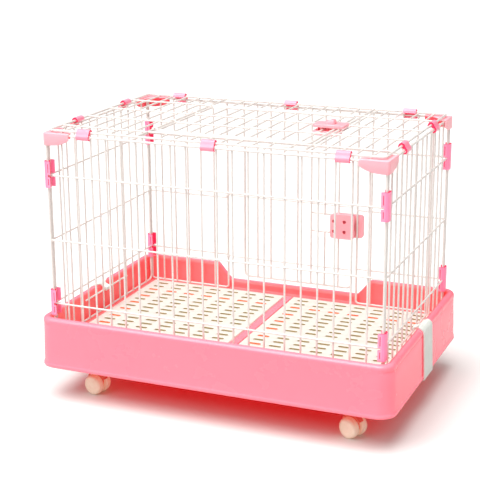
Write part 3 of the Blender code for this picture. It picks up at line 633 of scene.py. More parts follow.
def make_corner_clips():
    inner_wire = (0.0, END_HALF - HALF_Y)
    grip, wall = 0.0032, 0.0026
    outline = hook_section((0.0, 0.0), inner_wire, grip, wall, (90, (-0.0072, 0.0054)),
                           (-90, (-0.007, inner_wire[1] - 0.0054)), (-0.0034, inner_wire[1] / 2))
    mouth = (inner_wire[1] - 0.008, inner_wire[1] - 0.0016)
    skin = grip + wall
    sides = ((skin - 0.0008, skin + 0.001), (inner_wire[1] - skin - 0.001, inner_wire[1] - skin + 0.0008))
    for corner, (side_x, side_y) in CORNERS.items():
        def place(a, b, z):
            return Vector((side_x * (HALF_X + a), side_y * (HALF_Y + b), z))

        for level, row in (("upper", ROW_LEVELS[2]), ("lower", ROW_LEVELS[0])):
            name = "corner_clip_%s_%s" % (corner, level)
            low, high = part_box(name)
            clip = add_piece("clip_%s_%s" % (corner, level), hook(outline, place, low.z, high.z),
                             "wire_cage", "hot_pink_clip", [name], 50, 0, ["clip_inside"])
            notches = [((-0.0085, 0.001), mouth, (row - 0.0024, row + 0.0024)),
                       ((-0.0085, -0.003), (0.003, 0.008), (row - 0.0022, row + 0.0022))]
            for ends in ((row + 0.0055, high.z - 0.005), (low.z + 0.005, row - 0.0055)):
                notches += [((-0.0042, -0.0028), side, ends) for side in sides]
            # The notches' cut faces take clip_inside, a painted shade.
            for notch in notches:
                cut(clip, bar(place, *notch), "clip_inside")
            round_piece(clip, CLIP_EDGE)


def make_top_clips():
    sides = {"front": (lambda out, z, along: Vector((along, HALF_Y + out, z)), 3, 0),
             "back": (lambda out, z, along: Vector((along, -HALF_Y - out, z)), 3, 0),
             "left": (lambda out, z, along: Vector((-HALF_X - out, along, z)), 2, 1),
             "right": (lambda out, z, along: Vector((HALF_X + out, along, z)), 2, 1)}
    top_out = TOP_HALF_X - HALF_X
    outline = hook_section((top_out, TOP_LEVEL), (0.0, RAIL_HIGH), 0.0033, 0.0027,
                           (175, (top_out - 0.0064, TOP_LEVEL - 0.0014)),
                           (-85, (-0.0008, RAIL_HIGH - 0.0052)), (-0.0026, TOP_LEVEL - 0.0038))
    for side, (place, count, axis) in sides.items():
        for number in range(1, count + 1):
            name = "top_clip_%s_%d" % (side, number)
            low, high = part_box(name)
            clip = add_piece("clip_top_%s_%d" % (side, number), hook(outline, place, low[axis], high[axis]),
                             "wire_cage", "pink_clip", [name], 50, 0, ["clip_inside"])
            round_piece(clip, CLIP_EDGE)

# ---------------- corner covers


COVER_BEND = 0.0048
COVER_ROUND = 0.0018


def cover_path(leg):
    """Points (a, b) along a cover's outer face with the direction that points inwards."""
    stations = []
    for index in range(12):
        stations.append(((leg - index * (leg - COVER_BEND) / 12, 0.0), (0.0, 1.0)))
    for turn in range(0, 91, 10):
        angle = radians(turn)
        place = (COVER_BEND * (1 - sin(angle)), COVER_BEND * (1 - cos(angle)))
        stations.append((place, (sin(angle), cos(angle))))
    for index in range(1, 13):
        stations.append(((0.0, COVER_BEND + index * (leg - COVER_BEND) / 12), (1.0, 0.0)))
    return stations


def make_cover_wall(place, leg, top, wall):
    """The outer wall: rounded along its top, its lower edge curving up to the ends."""
    depth = 0.0229
    end_depth = 0.0118
    rings = []
    for (a, b), (in_a, in_b) in cover_path(leg):
        share = min(1.0, (a + b) / leg)
        bottom = top - depth + (depth - end_depth) * share ** 3.2
        section = [(0.0004, bottom + 0.0002), (0.0, bottom + 0.0008)]
        section += [(COVER_ROUND * (1 - cos(turn)), top - COVER_ROUND * (1 - sin(turn)))
                    for turn in (pi / 2 * step / 5 for step in range(6))]
        section += [(wall, top - 0.0001), (wall, bottom + 0.0008), (wall - 0.0004, bottom + 0.0002),
                    (wall / 2, bottom)]
        rings.append([place(a + in_a * inward, b + in_b * inward, z) for inward, z in section])
    bm = bmesh.new()
    add_rings(bm, rings)
    # Faces on the wall's inner side take the second material, cover_inside, a painted shade.
    inner_side = (8, 9, 10)
    for number, face in enumerate(list(bm.faces)[:-2]):
        face.material_index = int(number % len(section) in inner_side)
    return bm


def cover_web(leg, skin):
    """Outline of a cover's flat web, which leaves a round gap towards the middle of the top."""
    reach = 0.012
    turn = 0.002
    end = leg - 0.0006
    gap = leg - 0.004
    web = [(end, skin), (end, reach)]
    web += arc((end - turn, reach), turn, 0, 90, 3)
    web += arc((gap, gap), leg - 0.0205, 262, 188, 12)
    web += arc((reach, end - turn), turn, 0, 90, 3)
    web += [(reach, end), (skin, end), (skin, COVER_BEND)]
    return web + arc((COVER_BEND, COVER_BEND), COVER_BEND - skin, 190, 260, 5)


def cover_lip(leg, near):
    """Outline of a cover's inner lip, which stands inside the corner's wires."""
    far = near + 0.0016
    end = leg - 0.001
    middle = far + 0.003
    lip = [(near, near), (end, near), (end, far), (middle, far)]
    lip += arc((middle, middle), middle - far, 260, 190, 4)
    return lip + [(far, middle), (far, end), (near, end)]


def make_corner_covers():
    wall = 0.0022
    hole_radius = 0.0013
    for corner, (side_x, side_y) in CORNERS.items():
        name = "corner_cover_" + corner
        low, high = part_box(name)
        outer = (max(abs(low.x), abs(high.x)), max(abs(low.y), abs(high.y)))
        leg = high.x - low.x
        top = high.z

        def place(a, b, z):
            return Vector((side_x * (outer[0] - a), side_y * (outer[1] - b), z))

        add_piece("cover_" + corner, make_cover_wall(place, leg, top, wall), "wire_cage", "pink_cover",
                  [name], more=["cover_inside"])
        web = slab(cover_web(leg, wall / 2), place, top - 0.0014, top - 0.0002)
        shelf = add_piece("cover_web_" + corner, web, "wire_cage", "pink_cover")
        for a, b in ((0.042, 0.0125), (0.024, 0.0135), (0.0135, 0.024), (0.0125, 0.042)):
            hole = bmesh.new()
            add_turned(hole, place(a, b, top - 0.003), (0, 0, 1),
                       ((0, hole_radius), (0.006, hole_radius)), 16)
            cut(shelf, hole)
        # The lip is all in cover_inside, a painted shade.
        lip = slab(cover_lip(leg, outer[1] - HALF_Y + 0.0045), place, top - 0.0097, top - 0.0012)
        round_piece(add_piece("cover_lip_" + corner, lip, "wire_cage", "cover_inside"), 0.0005)

# ---------------- tub


SILL_DROP = 0.0328
SILL_HALF = 0.1375
SILL_SHOULDER = 0.167


def smooth_step(value):
    value = max(0.0, min(1.0, value))
    return value * value * (3 - 2 * value)


def sill_drop(x):
    slope = (SILL_SHOULDER - abs(x)) / (SILL_SHOULDER - SILL_HALF)
    eased = 0.25 * smooth_step(slope) + 0.75 * max(0.0, min(1.0, slope))
    return SILL_DROP * eased


def sill_columns():
    columns = [SILL_SHOULDER + 0.004, SILL_SHOULDER, SILL_SHOULDER - 0.003]
    columns += [SILL_SHOULDER - 0.008 - 0.005 * index for index in range(4)]
    columns += [SILL_HALF + 0.002, SILL_HALF, SILL_HALF - 0.004, 0.09, 0.045]
    return columns + [0.0] + [-x for x in reversed(columns)]


def tub_ring(out, z, radius, weight, crease=0.0):
    """One level of the tub, a rounded rectangle; weight is its share of the sill's drop, and a
    crease draws its two ends in.
    """
    half_x = HALF_X + out - crease
    half_y = HALF_Y + out
    points = []
    for turn, (side_x, side_y) in ((0, (1, 1)), (90, (-1, 1)), (180, (-1, -1)), (270, (1, -1))):
        centre = (side_x * (half_x - radius), side_y * (half_y - radius))
        points += [Vector((x, y, z)) for x, y in arc(centre, radius, turn, turn + 90, 10)]
        if turn == 0:
            points += [Vector((x, half_y, z - weight * sill_drop(x))) for x in sill_columns()]
        if turn == 180:
            points += [Vector((-x, -half_y, z)) for x in sill_columns()]
    return points


RIM_INNER = 0.007
RIM_OUTER = 0.0229
RIM_RADIUS = (RIM_OUTER - RIM_INNER) / 2
RIM_MIDDLE = (RIM_OUTER + RIM_INNER) / 2
SKIRT_OUTER = TUB_HIGH.x - HALF_X
SKIRT_BOTTOM = TUB_LOW.z
RIM_SPRING = TUB_HIGH.z - RIM_RADIUS
RIM_STEPS = 12
OUTSIDE_STEP = 4
TUB_FLOOR = FLOOR - 0.0003


def tub_inside():
    """Levels from the floor's edge up over the rim's inner side, as for tub_ring."""
    ledge = RAIL_LOW - RAIL_R - 0.0004
    levels = [(-0.03, TUB_FLOOR, 0.004, 0), (-0.0118, TUB_FLOOR, 0.004, 0),
              (-0.0104, TUB_FLOOR + 0.0004, 0.004, 0), (-0.01, TUB_FLOOR + 0.0012, 0.004, 0),
              (-0.01, ledge - 0.0006, 0.004, 0),
              (-0.0094, ledge, 0.0045, 0), (0.0045, ledge, 0.01, 0), (0.006, ledge + 0.0005, 0.011, 0),
              (0.0066, ledge + 0.002, 0.012, 0), (0.0069, RIM_SPRING - 0.01, 0.012, 0.9)]
    return levels + [rim_level(step) for step in range(OUTSIDE_STEP)]


def rim_level(step):
    """One of the levels over the rim; the outside surface begins at OUTSIDE_STEP."""
    turn = pi - pi * step / RIM_STEPS
    return (RIM_MIDDLE + RIM_RADIUS * cos(turn), RIM_SPRING + RIM_RADIUS * sin(turn),
            0.012 + 0.016 * step / RIM_STEPS, 1)


def tub_outside():
    """Levels from the rim's top down the outer wall to the lip round its foot."""
    levels = [rim_level(step) for step in range(OUTSIDE_STEP, RIM_STEPS + 1)]
    levels += [(RIM_OUTER, RIM_SPRING - drop, 0.028, 1, crease)
               for drop, crease in ((0.003, 0.0), (0.0042, 0.001), (0.0052, 0.0012), (0.0066, 0.0004))]
    levels += [(RIM_OUTER + 0.0004, 0.125, 0.029, 0.25), (SKIRT_OUTER - 0.0018, 0.098, 0.03, 0)]
    for out, rise in ((0.0014, 0.009), (0.0012, 0.0076), (0.0003, 0.0066), (0.0, 0.0052), (0.0, 0.002),
                      (0.0005, 0.0005), (0.0014, 0.0)):
        levels.append((SKIRT_OUTER - out, SKIRT_BOTTOM + rise, 0.0315, 0))
    return levels


def tub_under():
    """Levels from the foot's lip up inside the wall and under the floor."""
    ledge = RAIL_LOW - RAIL_R - 0.0026
    floor = FLOOR - 0.0025
    slope = RIM_RADIUS * 0.62
    shoulder = RIM_SPRING + RIM_RADIUS * 0.28
    return [(SKIRT_OUTER - 0.0022, SKIRT_BOTTOM + 0.0004, 0.031, 0),
            (SKIRT_OUTER - 0.0026, SKIRT_BOTTOM + 0.0014, 0.031, 0), (RIM_OUTER - 0.0012, 0.098, 0.029, 0),
            (RIM_OUTER - 0.003, RIM_SPRING - 0.006, 0.026, 1), (RIM_MIDDLE + slope, shoulder, 0.024, 1),
            (RIM_MIDDLE, RIM_SPRING + RIM_RADIUS - 0.0024, 0.02, 1),
            (RIM_MIDDLE - slope, shoulder, 0.016, 1),
            (0.0092, RIM_SPRING - 0.008, 0.014, 0.9), (0.0088, ledge + 0.006, 0.014, 0),
            (0.0084, ledge, 0.014, 0), (-0.0078, ledge, 0.006, 0), (-0.0078, floor, 0.006, 0),
            (-0.03, floor, 0.004, 0)]


def make_tub():
    bm = bmesh.new()
    inside, outside, under = tub_inside(), tub_outside(), tub_under()
    # The inside levels take tub_inside and the levels under the tub take tub_underside, both painted shade.
    tints = [1] * len(inside) + [0] * (len(outside) - 1) + [2] * len(under)
    add_rings(bm, [tub_ring(*level) for level in inside + outside + under], tints=tints)
    add_piece("tub_shell", bm, "tub", "pink_tub", ["tub"], 60, 0, ["tub_inside", "tub_underside"])
    rib = slab(rounded_box_outline(-0.0075, 0.0075, -0.19, 0.19, 0.003, 4),
               lambda a, b, z: Vector((a, b, z)), TUB_FLOOR - 0.0008, MAT_TOP - 0.0006)
    add_piece("tub_middle_rib", rib, "tub", "pink_tub", bevel=0.0008)
    for corner in CORNERS:
        make_socket(corner)


def make_socket(corner):
    """A tube with four ribs under the tub's floor, which holds a caster's stem."""
    bore = 0.0048
    stem = Vector(JOINTS["caster_swivel_" + corner]["pos_m"])
    top = TUB_FLOOR - 0.0018
    socket = bmesh.new()
    add_turned(socket, stem, (0, 0, 1), ((0.0, bore), (0.0, 0.0105), (0.0008, 0.011), (top - stem.z, 0.0125),
                                         (top - stem.z, bore)), closed=True)
    inner, outer, half_rib = 0.01, 0.03, 0.001
    for turn in range(4):
        angle = radians(45 + 90 * turn)
        along = Vector((cos(angle), sin(angle), 0))
        across = Vector((-along.y, along.x, 0)) * half_rib
        points = [(inner, stem.z + 0.004), (outer, top - 0.002), (outer, top), (inner, top)]
        add_rings(socket, [[Vector((stem.x, stem.y, z)) + along * reach + across * side
                            for reach, z in points] for side in (-1, 1)])
    # The socket takes tub_underside, a painted shade.
    add_piece("tub_socket_" + corner, socket, "tub", "tub_underside")

# ---------------- mats


SLOT_COLUMNS = 7
SLOT_ROWS = 17
SLOT_LENGTH = 0.024
SLOT_WIDTH = 0.0078
SLOT_POINTS = 24
POCKET_DEPTH = 0.0036
MAT_MARGIN = 0.0075
ROUND_STEPS = [tan(radians(angle)) for angle in range(-45, 45, 15)]


def cell_ring(width, depth):
    """Points round a rectangle, its corners among them."""
    points = []
    for step in range(SLOT_POINTS):
        angle = 2 * pi * step / SLOT_POINTS
        a, b = cos(angle), sin(angle)
        scale = 1 / max(abs(a), abs(b))
        points.append((a * scale * width / 2, b * scale * depth / 2))
    return points


def slot_ring(grow):
    """Points round a slot with round ends, grown in length and width, in step with cell_ring."""
    radius = (SLOT_WIDTH + grow) / 2
    straight = (SLOT_LENGTH - SLOT_WIDTH) / 2
    right = arc((straight, 0), radius, -90, 90, 10)
    left = arc((-straight, 0), radius, 90, 270, 10)
    ring = right + [(0.0, radius)] + left + [(0.0, -radius)]
    return ring[5:] + ring[:5]


def add_cell(bm, x, y, width, depth, through):
    """One mat cell: flat top, softened slot edge, slot walls, and a floor unless through."""
    lip = 0.0005
    bottom = FLOOR + 0.0002
    outer = cell_ring(width, depth)
    rings = [(outer, MAT_TOP)]
    rings += [(slot_ring(grow * lip), MAT_TOP - drop * lip) for grow, drop in ((2, 0), (0.6, 0.3), (0, 1))]
    # A through slot's walls take material 2, a painted glow of light bounced from the tub; a blind slot's
    # walls and floor take material 1, a painted shade.
    if through:
        rings += [(rings[-1][0], bottom), (outer, bottom)]
        tints = (0, 0, 0, 2, 0)
    else:
        rings.append((slot_ring(-0.0006), MAT_TOP - POCKET_DEPTH))
        tints = (0, 0, 0, 1)
    points = [[Vector((x + a, y + b, z)) for a, b in ring] for ring, z in rings]
    skins = add_rings(bm, points, False, False, tints)
    if not through:
        bm.faces.new(skins[-1]).material_index = 1
        bm.faces.new([bm.verts.new(Vector((x + a, y + b, bottom))) for a, b in outer])


def cell_border():
    """Points round all the cells, as shares from -1 to 1 of the block's half width and depth."""
    def along(count):
        return [(2 * index + 1 + step) / count - 1 for index in range(count) for step in ROUND_STEPS]

    wide, deep = along(SLOT_COLUMNS), along(SLOT_ROWS)
    points = [(share, -1) for share in wide] + [(1, share) for share in deep]
    return points + [(-share, 1) for share in wide] + [(-1, -share) for share in deep]


def make_mat(name, node_name):
    low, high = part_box(node_name)
    width = (high.x - low.x - 2 * MAT_MARGIN) / SLOT_COLUMNS
    depth = (high.y - low.y - 2 * MAT_MARGIN) / SLOT_ROWS
    bm = bmesh.new()
    for column in range(SLOT_COLUMNS):
        for row in range(SLOT_ROWS):
            x = low.x + MAT_MARGIN + (column + 0.5) * width
            y = low.y + MAT_MARGIN + (row + 0.5) * depth
            through = row == SLOT_ROWS - 3 or (column == 0 and row % 2 == 0 and row < SLOT_ROWS - 1)
            add_cell(bm, x, y, width, depth, through)
    centre = (low + high) / 2
    half = (high - low) / 2
    edge = ((MAT_MARGIN, MAT_TOP), (0.003, MAT_TOP), (0.0012, MAT_TOP - 0.0002), (0.0003, MAT_TOP - 0.0012),
            (0.0, MAT_TOP - 0.0025), (0.0, FLOOR + 0.0002), (MAT_MARGIN, FLOOR + 0.0002))
    rings = [[Vector((centre.x + a * (half.x - inset), centre.y + b * (half.y - inset), z))
              for a, b in cell_border()] for inset, z in edge]
    add_rings(bm, rings, caps=False)
    bmesh.ops.remove_doubles(bm, verts=bm.verts, dist=0.00002)
    add_piece(name, bm, node_name, "ivory_mat", [node_name], 35, 0, ["mat_slot", "mat_slot_warm"])

# ---------------- straps


def strap_stations():
    """Centre line of a strap as (outwards, height, half width), from hook to tip."""
    narrow, wide = 0.009, 0.028
    stations = [(a, STRAP_LEVEL + b, narrow) for a, b in arc((0, 0), 0.0032, 250, 70, 10)]
    stations += [(0.003, STRAP_LEVEL + 0.004, narrow), (0.0044, STRAP_LEVEL + 0.0048, narrow)]
    over = RIM_RADIUS + 0.0012
    for step, width in enumerate([narrow, narrow, 0.011, 0.022, 0.0275] + [wide] * 6):
        turn = radians(150 - 15 * step)
        stations.append((RIM_MIDDLE + over * cos(turn), RIM_SPRING + over * sin(turn), width))
    top_out = RIM_MIDDLE + over
    foot = SKIRT_OUTER + 0.0013
    drop = RIM_SPRING - SKIRT_BOTTOM - 0.001
    for share in (0.15, 0.35, 0.55, 0.75, 0.9, 1.0):
        stations.append((top_out + (foot - top_out) * share, RIM_SPRING - drop * share, wide))
    return stations + [(foot - 0.0003, SKIRT_BOTTOM - 0.0006, wide - 0.0002),
                       (foot - 0.0012, SKIRT_BOTTOM - 0.0016, wide - 0.0008)]


def strap_section(width):
    """Points (across, lift) round the strap: raised edge beads and two faint ribs."""
    half, bead, rib = 0.0008, 0.0005, 0.00025
    edge = 0.0022
    inner = width - edge
    half_side = [(0.0, half), (inner * 0.3, half), (inner * 0.33, half + rib), (inner * 0.36, half),
                 (inner * 0.72, half), (inner * 0.75, half + rib), (inner * 0.78, half), (inner, half),
                 (inner + edge * 0.4, half + bead), (width - 0.0004, half + bead), (width, 0.0),
                 (width - 0.0003, -half)]
    return [(-across, lift) for across, lift in reversed(half_side[1:])] + half_side + [(0.0, -half)]


def make_strap(name, side):
    stations = strap_stations()
    rings = []
    for index, (out, z, width) in enumerate(stations):
        before = stations[max(index - 1, 0)]
        after = stations[min(index + 1, len(stations) - 1)]
        along = Vector((after[0] - before[0], after[1] - before[1])).normalized()
        rise = Vector((-along.y, along.x))
        rings.append([Vector((side * (HALF_X + out + rise.x * lift), across, z + rise.y * lift))
                      for across, lift in strap_section(width)])
    bm = bmesh.new()
    add_rings(bm, rings)
    add_piece(name + "_band", bm, name, "strap", [name], 50)

# ---------------- latches


FRONT = (front_place, 2, 1, HALF_Y)
TOP = (top_place, 1, 2, TOP_LEVEL)


def soft_block(place, u, v, w, radius, bm=None):
    return slab(rounded_box_outline(*u, *v, radius), place, *w, bm)


def node_ranges(node_name, face):
    """A node's ranges along u, v and w of a face: its placing function, v axis, w axis and w origin."""
    low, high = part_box(node_name)
    across, depth, origin = face[1:]
    return (low.x, high.x), (low[across], high[across]), (origin - high[depth], origin - low[depth])


def add_plate(name, node_name, body, face, radius):
    """A latch's moulded block with round corners, in the place of its node."""
    block = soft_block(face[0], *node_ranges(node_name, face), radius)
    return add_piece(name, block, body, "pink_latch", [node_name])


def make_door_latch():
    screws = ["latch_screw_%d" % number for number in range(1, 5)]
    inner = add_plate("door_latch_plate", "latch_inner_plate", "front_door", FRONT, 0.0065)
    face = node_ranges("latch_inner_plate", FRONT)[2][1]
    # The screw recesses and the bolt slot are cut with latch_inside, a painted shade.
    recess_radius = 0.0033
    for node_name in screws:
        u, v = node_ranges(node_name, FRONT)[:2]
        outline = arc((sum(u) / 2, sum(v) / 2), recess_radius, 0, 345, 23)
        cut(inner, slab(outline, front_place, face - 0.003, face + 0.002), "latch_inside")
    cut(inner, bar(front_place, (0.09, 0.14), (LATCH_LEVEL - 0.0062, LATCH_LEVEL + 0.0062),
                   (0.003, 0.007)), "latch_inside")
    round_piece(inner, 0.0011, 3)
    cover = add_plate("door_latch_cover", "latch_outer_cover", "front_door", FRONT, 0.007)
    cut(cover, bar(front_place, (0.1003, 0.1197), (LATCH_LEVEL - 0.0038, LATCH_LEVEL + 0.0038),
                   (-0.02, -0.001)))
    round_piece(cover, 0.0011, 3)
    for node_name in screws:
        add_screw("door_" + node_name, node_name, "front_door", FRONT, -1)


def add_screw(name, node_name, body, face, way):
    """A pan-head screw with a cross recess; way is 1 where it points along w and -1 against w."""
    place = face[0]
    u, v, w = node_ranges(node_name, face)
    length = w[1] - w[0]
    head = place(sum(u) / 2, sum(v) / 2, w[0] if way > 0 else w[1])
    direction = (place(0, 0, way) - place(0, 0, 0)).normalized()
    bm = bmesh.new()
    stations = [(0.0006, 0.0004), (0.0002, 0.0016), (0.0004, 0.0022), (0.001, 0.0027), (0.0021, 0.0028),
                (0.0022, 0.0014), (length - 0.0015, 0.0014), (length, 0.0004)]
    add_turned(bm, head, direction, stations, 24)
    piece = add_piece(name, bm, body, "steel_screw", [node_name])
    side = direction.orthogonal().normalized()
    other = direction.cross(side)
    for long_way, short_way in ((side, other), (other, side)):
        def blade_place(a, b, depth):
            return head + direction * depth + long_way * a + short_way * b

        cut(piece, bar(blade_place, (-0.0017, 0.0017), (-0.0003, 0.0003), (-0.001, 0.0013)))


def make_bolt(name, face, thick, half_width, stem, knob, lean):
    """A bolt's flat tongue, the stem of its thumb knob, and the knob.

    stem and the first pair in knob are ranges from the tongue's end; the others are the knob's
    half width and its range above the stem.
    """
    place = face[0]
    node_name = name + "_bolt"
    u, v, w = node_ranges(node_name, face)
    level = sum(v) / 2
    half_stem = 0.003
    bm = soft_block(place, u, (level - half_width, level + half_width), (w[1] - thick, w[1]), 0.0015)
    soft_block(place, (u[0] + stem[0], u[0] + stem[1]), (level - half_stem, level + half_stem),
               (w[0] + 0.002, w[1] - thick + 0.0002), 0.001, bm)
    add_piece(node_name + "_tongue", bm, node_name, "pink_latch", [node_name], bevel=0.0003)
    along, half, deep = knob
    add_knob(node_name, place, (u[0] + along[0], u[0] + along[1]), (level - half, level + half),
             (w[0] + 0.0005, w[0] + deep), lean)


def add_knob(node_name, place, u, v, w, lean):
    """A thumb knob that leans towards its bolt's tip, with ridges across its top."""
    bm = bmesh.new()
    top, foot = w
    rings = []
    for share, inset in ((0.0, 0.0), (0.12, 0.0001), (0.6, 0.0005), (0.88, 0.0009), (1.0, 0.0018)):
        depth = foot + (top - foot) * share
        outline = rounded_box_outline(u[0] + lean * share + inset, u[1] - inset, v[0] + inset, v[1] - inset,
                                      0.002, 5)
        rings.append([place(a, b, depth) for a, b in outline])
    add_rings(bm, rings)
    start = u[0] + lean
    for index in range(3):
        middle = start + (u[1] - start) * (0.3 + 0.2 * index)
        ridge = rounded_box_outline(middle - 0.0005, middle + 0.0005, v[0] + 0.0024, v[1] - 0.0024, 0.0004, 3)
        slab(ridge, place, top + 0.0004, top - 0.0004, bm)
    add_piece(node_name + "_knob", bm, node_name, "pink_latch")


def make_bolts():
    """Both bolts: tongue's thickness and half width, stem, knob, and the knob's lean."""
    make_bolt("door", FRONT, 0.0028, 0.0056, (0.006, 0.011), ((0.0005, 0.0165), 0.007, 0.0055), 0.0)
    make_bolt("hatch", TOP, 0.0037, 0.0063, (0.0015, 0.0065), ((0.0, 0.019), 0.008, 0.0072), 0.0085)


def make_hatch_latch():
    parts = (("lower", "base", (0.1395, 0.17), 0.0068, (0.003, 0.0087)),
             ("upper", "cover", (0.1402, 0.1583), 0.004, (-0.02, 0.0)))
    for name, node_name, along, half, depth in parts:
        piece = add_plate("hatch_latch_" + name, "hatch_latch_" + node_name, "top_hatch", TOP, 0.005)
        cut(piece, bar(top_place, along, (-half, half), depth))
        round_piece(piece, 0.001, 3)
    for number in (1, 2):
        add_screw("hatch_latch_screw_%d" % number, "hatch_screw_%d" % number, "top_hatch", TOP, 1)

# ---------------- casters


TREAD_RIBS = 64
TREAD_RIB_DEPTH = 0.00045


def add_wheel_disc(bm, axle, way, radius):
    """One domed disc with fine ribs across its tread."""
    tread = radius - 0.0003
    profile = [(0.0046, 0.003, 0), (0.0046, radius - 0.0032, 0), (0.0051, radius - 0.0014, 0),
               (0.006, radius - 0.0004, 1), (0.0072, radius, 1), (0.012, radius, 1), (0.0134, tread, 1)]
    profile += [(0.0134 + 0.006 * sin(turn), tread - 0.0062 * (1 - cos(turn)), 0)
                for turn in (radians(angle) for angle in (18, 36, 54, 72, 88))]
    profile += [(along, radius * share, 0)
                for along, share in ((0.0195, 0.6), (0.0193, 0.565), (0.0193, 0.54), (0.0195, 0.51))]
    profile += [(0.0195, 0.0052, 0), (0.0191, 0.0046, 0), (0.0192, 0.0012, 0)]
    sides = TREAD_RIBS * 2
    rings = []
    for along, size, ribbed in profile:
        ring = []
        for step in range(sides):
            turn = 2 * pi * step / sides
            reach = size - (TREAD_RIB_DEPTH if ribbed and step % 2 else 0.0)
            ring.append(axle + Vector((cos(turn) * reach, way * along, sin(turn) * reach)))
        rings.append(ring)
    add_rings(bm, rings)


def make_caster(corner):
    stem = Vector(JOINTS["caster_swivel_" + corner]["pos_m"])
    spin = JOINTS["wheel_spin_" + corner]
    side = copysign(1, stem.x)
    reach = (Vector(spin["pos_m"]) - stem).xy.length
    radius = spin["pos_m"][2]
    axle = Vector((stem.x + side * reach, stem.y, radius))
    turn = atan2(-spin["axis"][0], spin["axis"][1])

    def swing(bm):
        """Turn a shape drawn straight out from the stem into the caster's rest direction."""
        bmesh.ops.rotate(bm, cent=(stem.x, stem.y, 0), matrix=Matrix.Rotation(turn, 3, "Z"), verts=bm.verts)
        return bm

    def place(a, z, across):
        return Vector((stem.x + side * a, stem.y + across, z))

    wheel = bmesh.new()
    for way in (-1, 1):
        add_wheel_disc(wheel, axle, way, radius)
    add_turned(wheel, axle, (0, 1, 0), ((-0.006, 0.0028), (0.006, 0.0028)), 24)
    add_piece("wheel_pair_" + corner, swing(wheel), "wheel_" + corner, "ivory_wheel",
              ["caster_wheel_" + corner], 50)
    middle = (reach, axle.z)
    web = arc(middle, radius - 0.0065, -150, 20, 10)
    web += [(reach + radius * 0.62, axle.z + radius * 0.72), (0.01, 0.0425), (-0.0088, 0.0425),
            (-0.0088, 0.036), (-0.0005, 0.026)]
    fork = slab(web, place, -0.0035, 0.0035)
    top = stem.z - 0.0028
    stations = [(0.0396, 0.008), (0.0404, 0.0095), (0.054, 0.0098), (top - 0.0008, 0.0096), (top, 0.0088),
                (top, 0.0041), (0.09, 0.0041), (0.092, 0.0033)]
    add_turned(fork, Vector((stem.x, stem.y, 0)), (0, 0, 1), stations, 32)
    hood = arc(middle, radius + 0.004, 35, 150, 12) + arc(middle, radius + 0.002, 150, 35, 12)
    slab(hood, place, -0.0058, 0.0058, fork)
    add_piece("fork_" + corner, swing(fork), "caster_" + corner, "caster_fork",
              ["caster_fork_" + corner], bevel=0.0004)

# ---------------- stage, light, camera


def make_stage():
    """A plain pale floor that throws back less light than the camera sees on it."""
    bpy.ops.mesh.primitive_plane_add(size=40, location=(0, 12.0, -0.0002))
    floor = bpy.context.active_object
    floor.name = "floor"
    paint = bpy.data.materials.new("pale_floor")
    paint.use_nodes = True
    tree = paint.node_tree
    seen = tree.nodes["Principled BSDF"]
    fill(seen, {"Base Color": (0.79, 0.78, 0.77), "Roughness": 0.9, "Specular IOR Level": 0.0})
    bounced = node(tree, "ShaderNodeBsdfDiffuse", {"Color": (0.6, 0.59, 0.58)})
    mix_for_camera(tree, bounced, seen, tree.nodes["Material Output"])
    floor.data.materials.append(paint)


def mix_for_camera(tree, other, seen, output):
    """Give the camera one shader and every other ray another."""
    share = mix_shaders(tree, other.outputs[0], seen.outputs[0], output)
    tree.links.new(node(tree, "ShaderNodeLightPath").outputs["Is Camera Ray"], share)


def add_light(name, kind, place, target, energy, colour=(1, 1, 1)):
    data = bpy.data.lights.new(name, kind)
    data.energy = energy
    data.color = colour
    light = add_object(name, data)
    light.location = place
    light.rotation_euler = (Vector(target) - Vector(place)).to_track_quat("-Z", "Y").to_euler()
    return light


def add_panel_light(name, place, target, energy, width, depth, colour=(1, 1, 1)):
    """A rectangular soft light that the camera doesn't see."""
    light = add_light(name, "AREA", place, target, energy, colour)
    light.data.shape = "RECTANGLE"
    light.data.size = width
    light.data.size_y = depth
    light.visible_camera = False
    return light


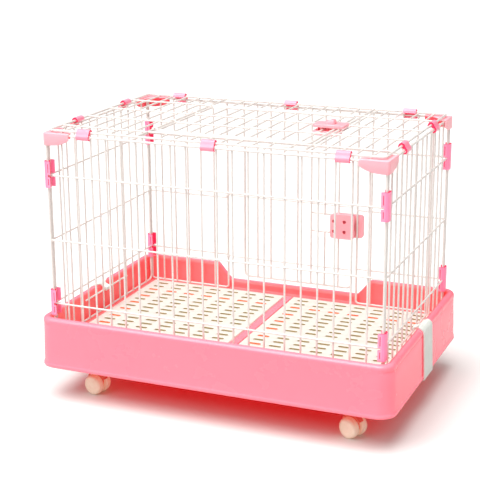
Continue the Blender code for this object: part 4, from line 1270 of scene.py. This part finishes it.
def make_light():
    """A white surround for the camera, a softer one that lights the object, a broad sun, two soft
    boxes, and a weak red light for the glow under the tub.
    """
    world = bpy.data.worlds.new("studio")
    world.use_nodes = True
    tree = world.node_tree
    seen = tree.nodes["Background"]
    fill(seen, {"Color": (1, 1, 1), "Strength": 1.0})
    cast = node(tree, "ShaderNodeBackground", {"Color": (1.0, 0.98, 0.96)})
    split = node(tree, "ShaderNodeSeparateXYZ")
    tree.links.new(node(tree, "ShaderNodeTexCoord").outputs["Generated"], split.inputs["Vector"])
    tree.links.new(mapped(tree, split.outputs["Z"], 0.04, 0.85, 0.2, 0.8), cast.inputs["Strength"])
    mix_for_camera(tree, cast, seen, tree.nodes["World Output"])
    bpy.context.scene.world = world
    key = add_light("key", "SUN", (-0.42, -1.25, 3.4), (0, 0, 0), 3.3)
    key.data.angle = radians(50)
    for name, place, power in (("box_left", (-1.4, -2.4, 1.9), 22), ("box_right", (2.6, -1.2, 1.5), 4)):
        add_panel_light(name, place, (0, 0, 0.15), power, 1.5, 1.0)
    size = (TUB_HIGH - TUB_LOW) * 0.92
    under = add_panel_light("pink_bounce", (0, 0, TUB_LOW.z - 0.004), (0, 0, 0), 0.45, size.x, size.y,
                            (1.0, 0.0, 0.0))
    under.visible_glossy = False
    bpy.context.scene.view_settings.view_transform = "Standard"
    bpy.context.scene.view_settings.look = "None"


def make_camera():
    """The view that was fitted to the wire panels: its directions, roll, lens and place."""
    data = bpy.data.cameras.new("camera")
    data.sensor_width = 36
    data.lens = 97.6
    camera = add_object("camera", data)
    right = Vector((0.9211, 0.3893, 0.0))
    forward = Vector((-0.3737, 0.8842, -0.2804)).normalized()
    up = right.cross(forward).normalized()
    roll = radians(-0.38)
    rolled_right = right * cos(roll) + up * sin(roll)
    rolled_up = up * cos(roll) - right * sin(roll)
    turn = Matrix((rolled_right, rolled_up, -forward)).transposed()
    camera.matrix_world = Matrix.Translation((0.887, -2.1633, 0.9677)) @ turn.to_4x4()
    bpy.context.scene.camera = camera


def main():
    make_tub()
    for end, way, place in (("left", -1, left_place), ("right", 1, right_place)):
        make_mat("mat_%s_grid" % end, "mat_" + end)
        make_end_panel(end, place)
        make_strap("strap_" + end, way)
    make_back_panel()
    make_front_panel()
    make_top_panel()
    make_front_door()
    make_top_hatch()
    make_corner_clips()
    make_top_clips()
    make_corner_covers()
    make_door_latch()
    make_hatch_latch()
    make_bolts()
    for corner in CORNERS:
        make_caster(corner)
    make_stage()
    make_light()
    make_camera()


main()
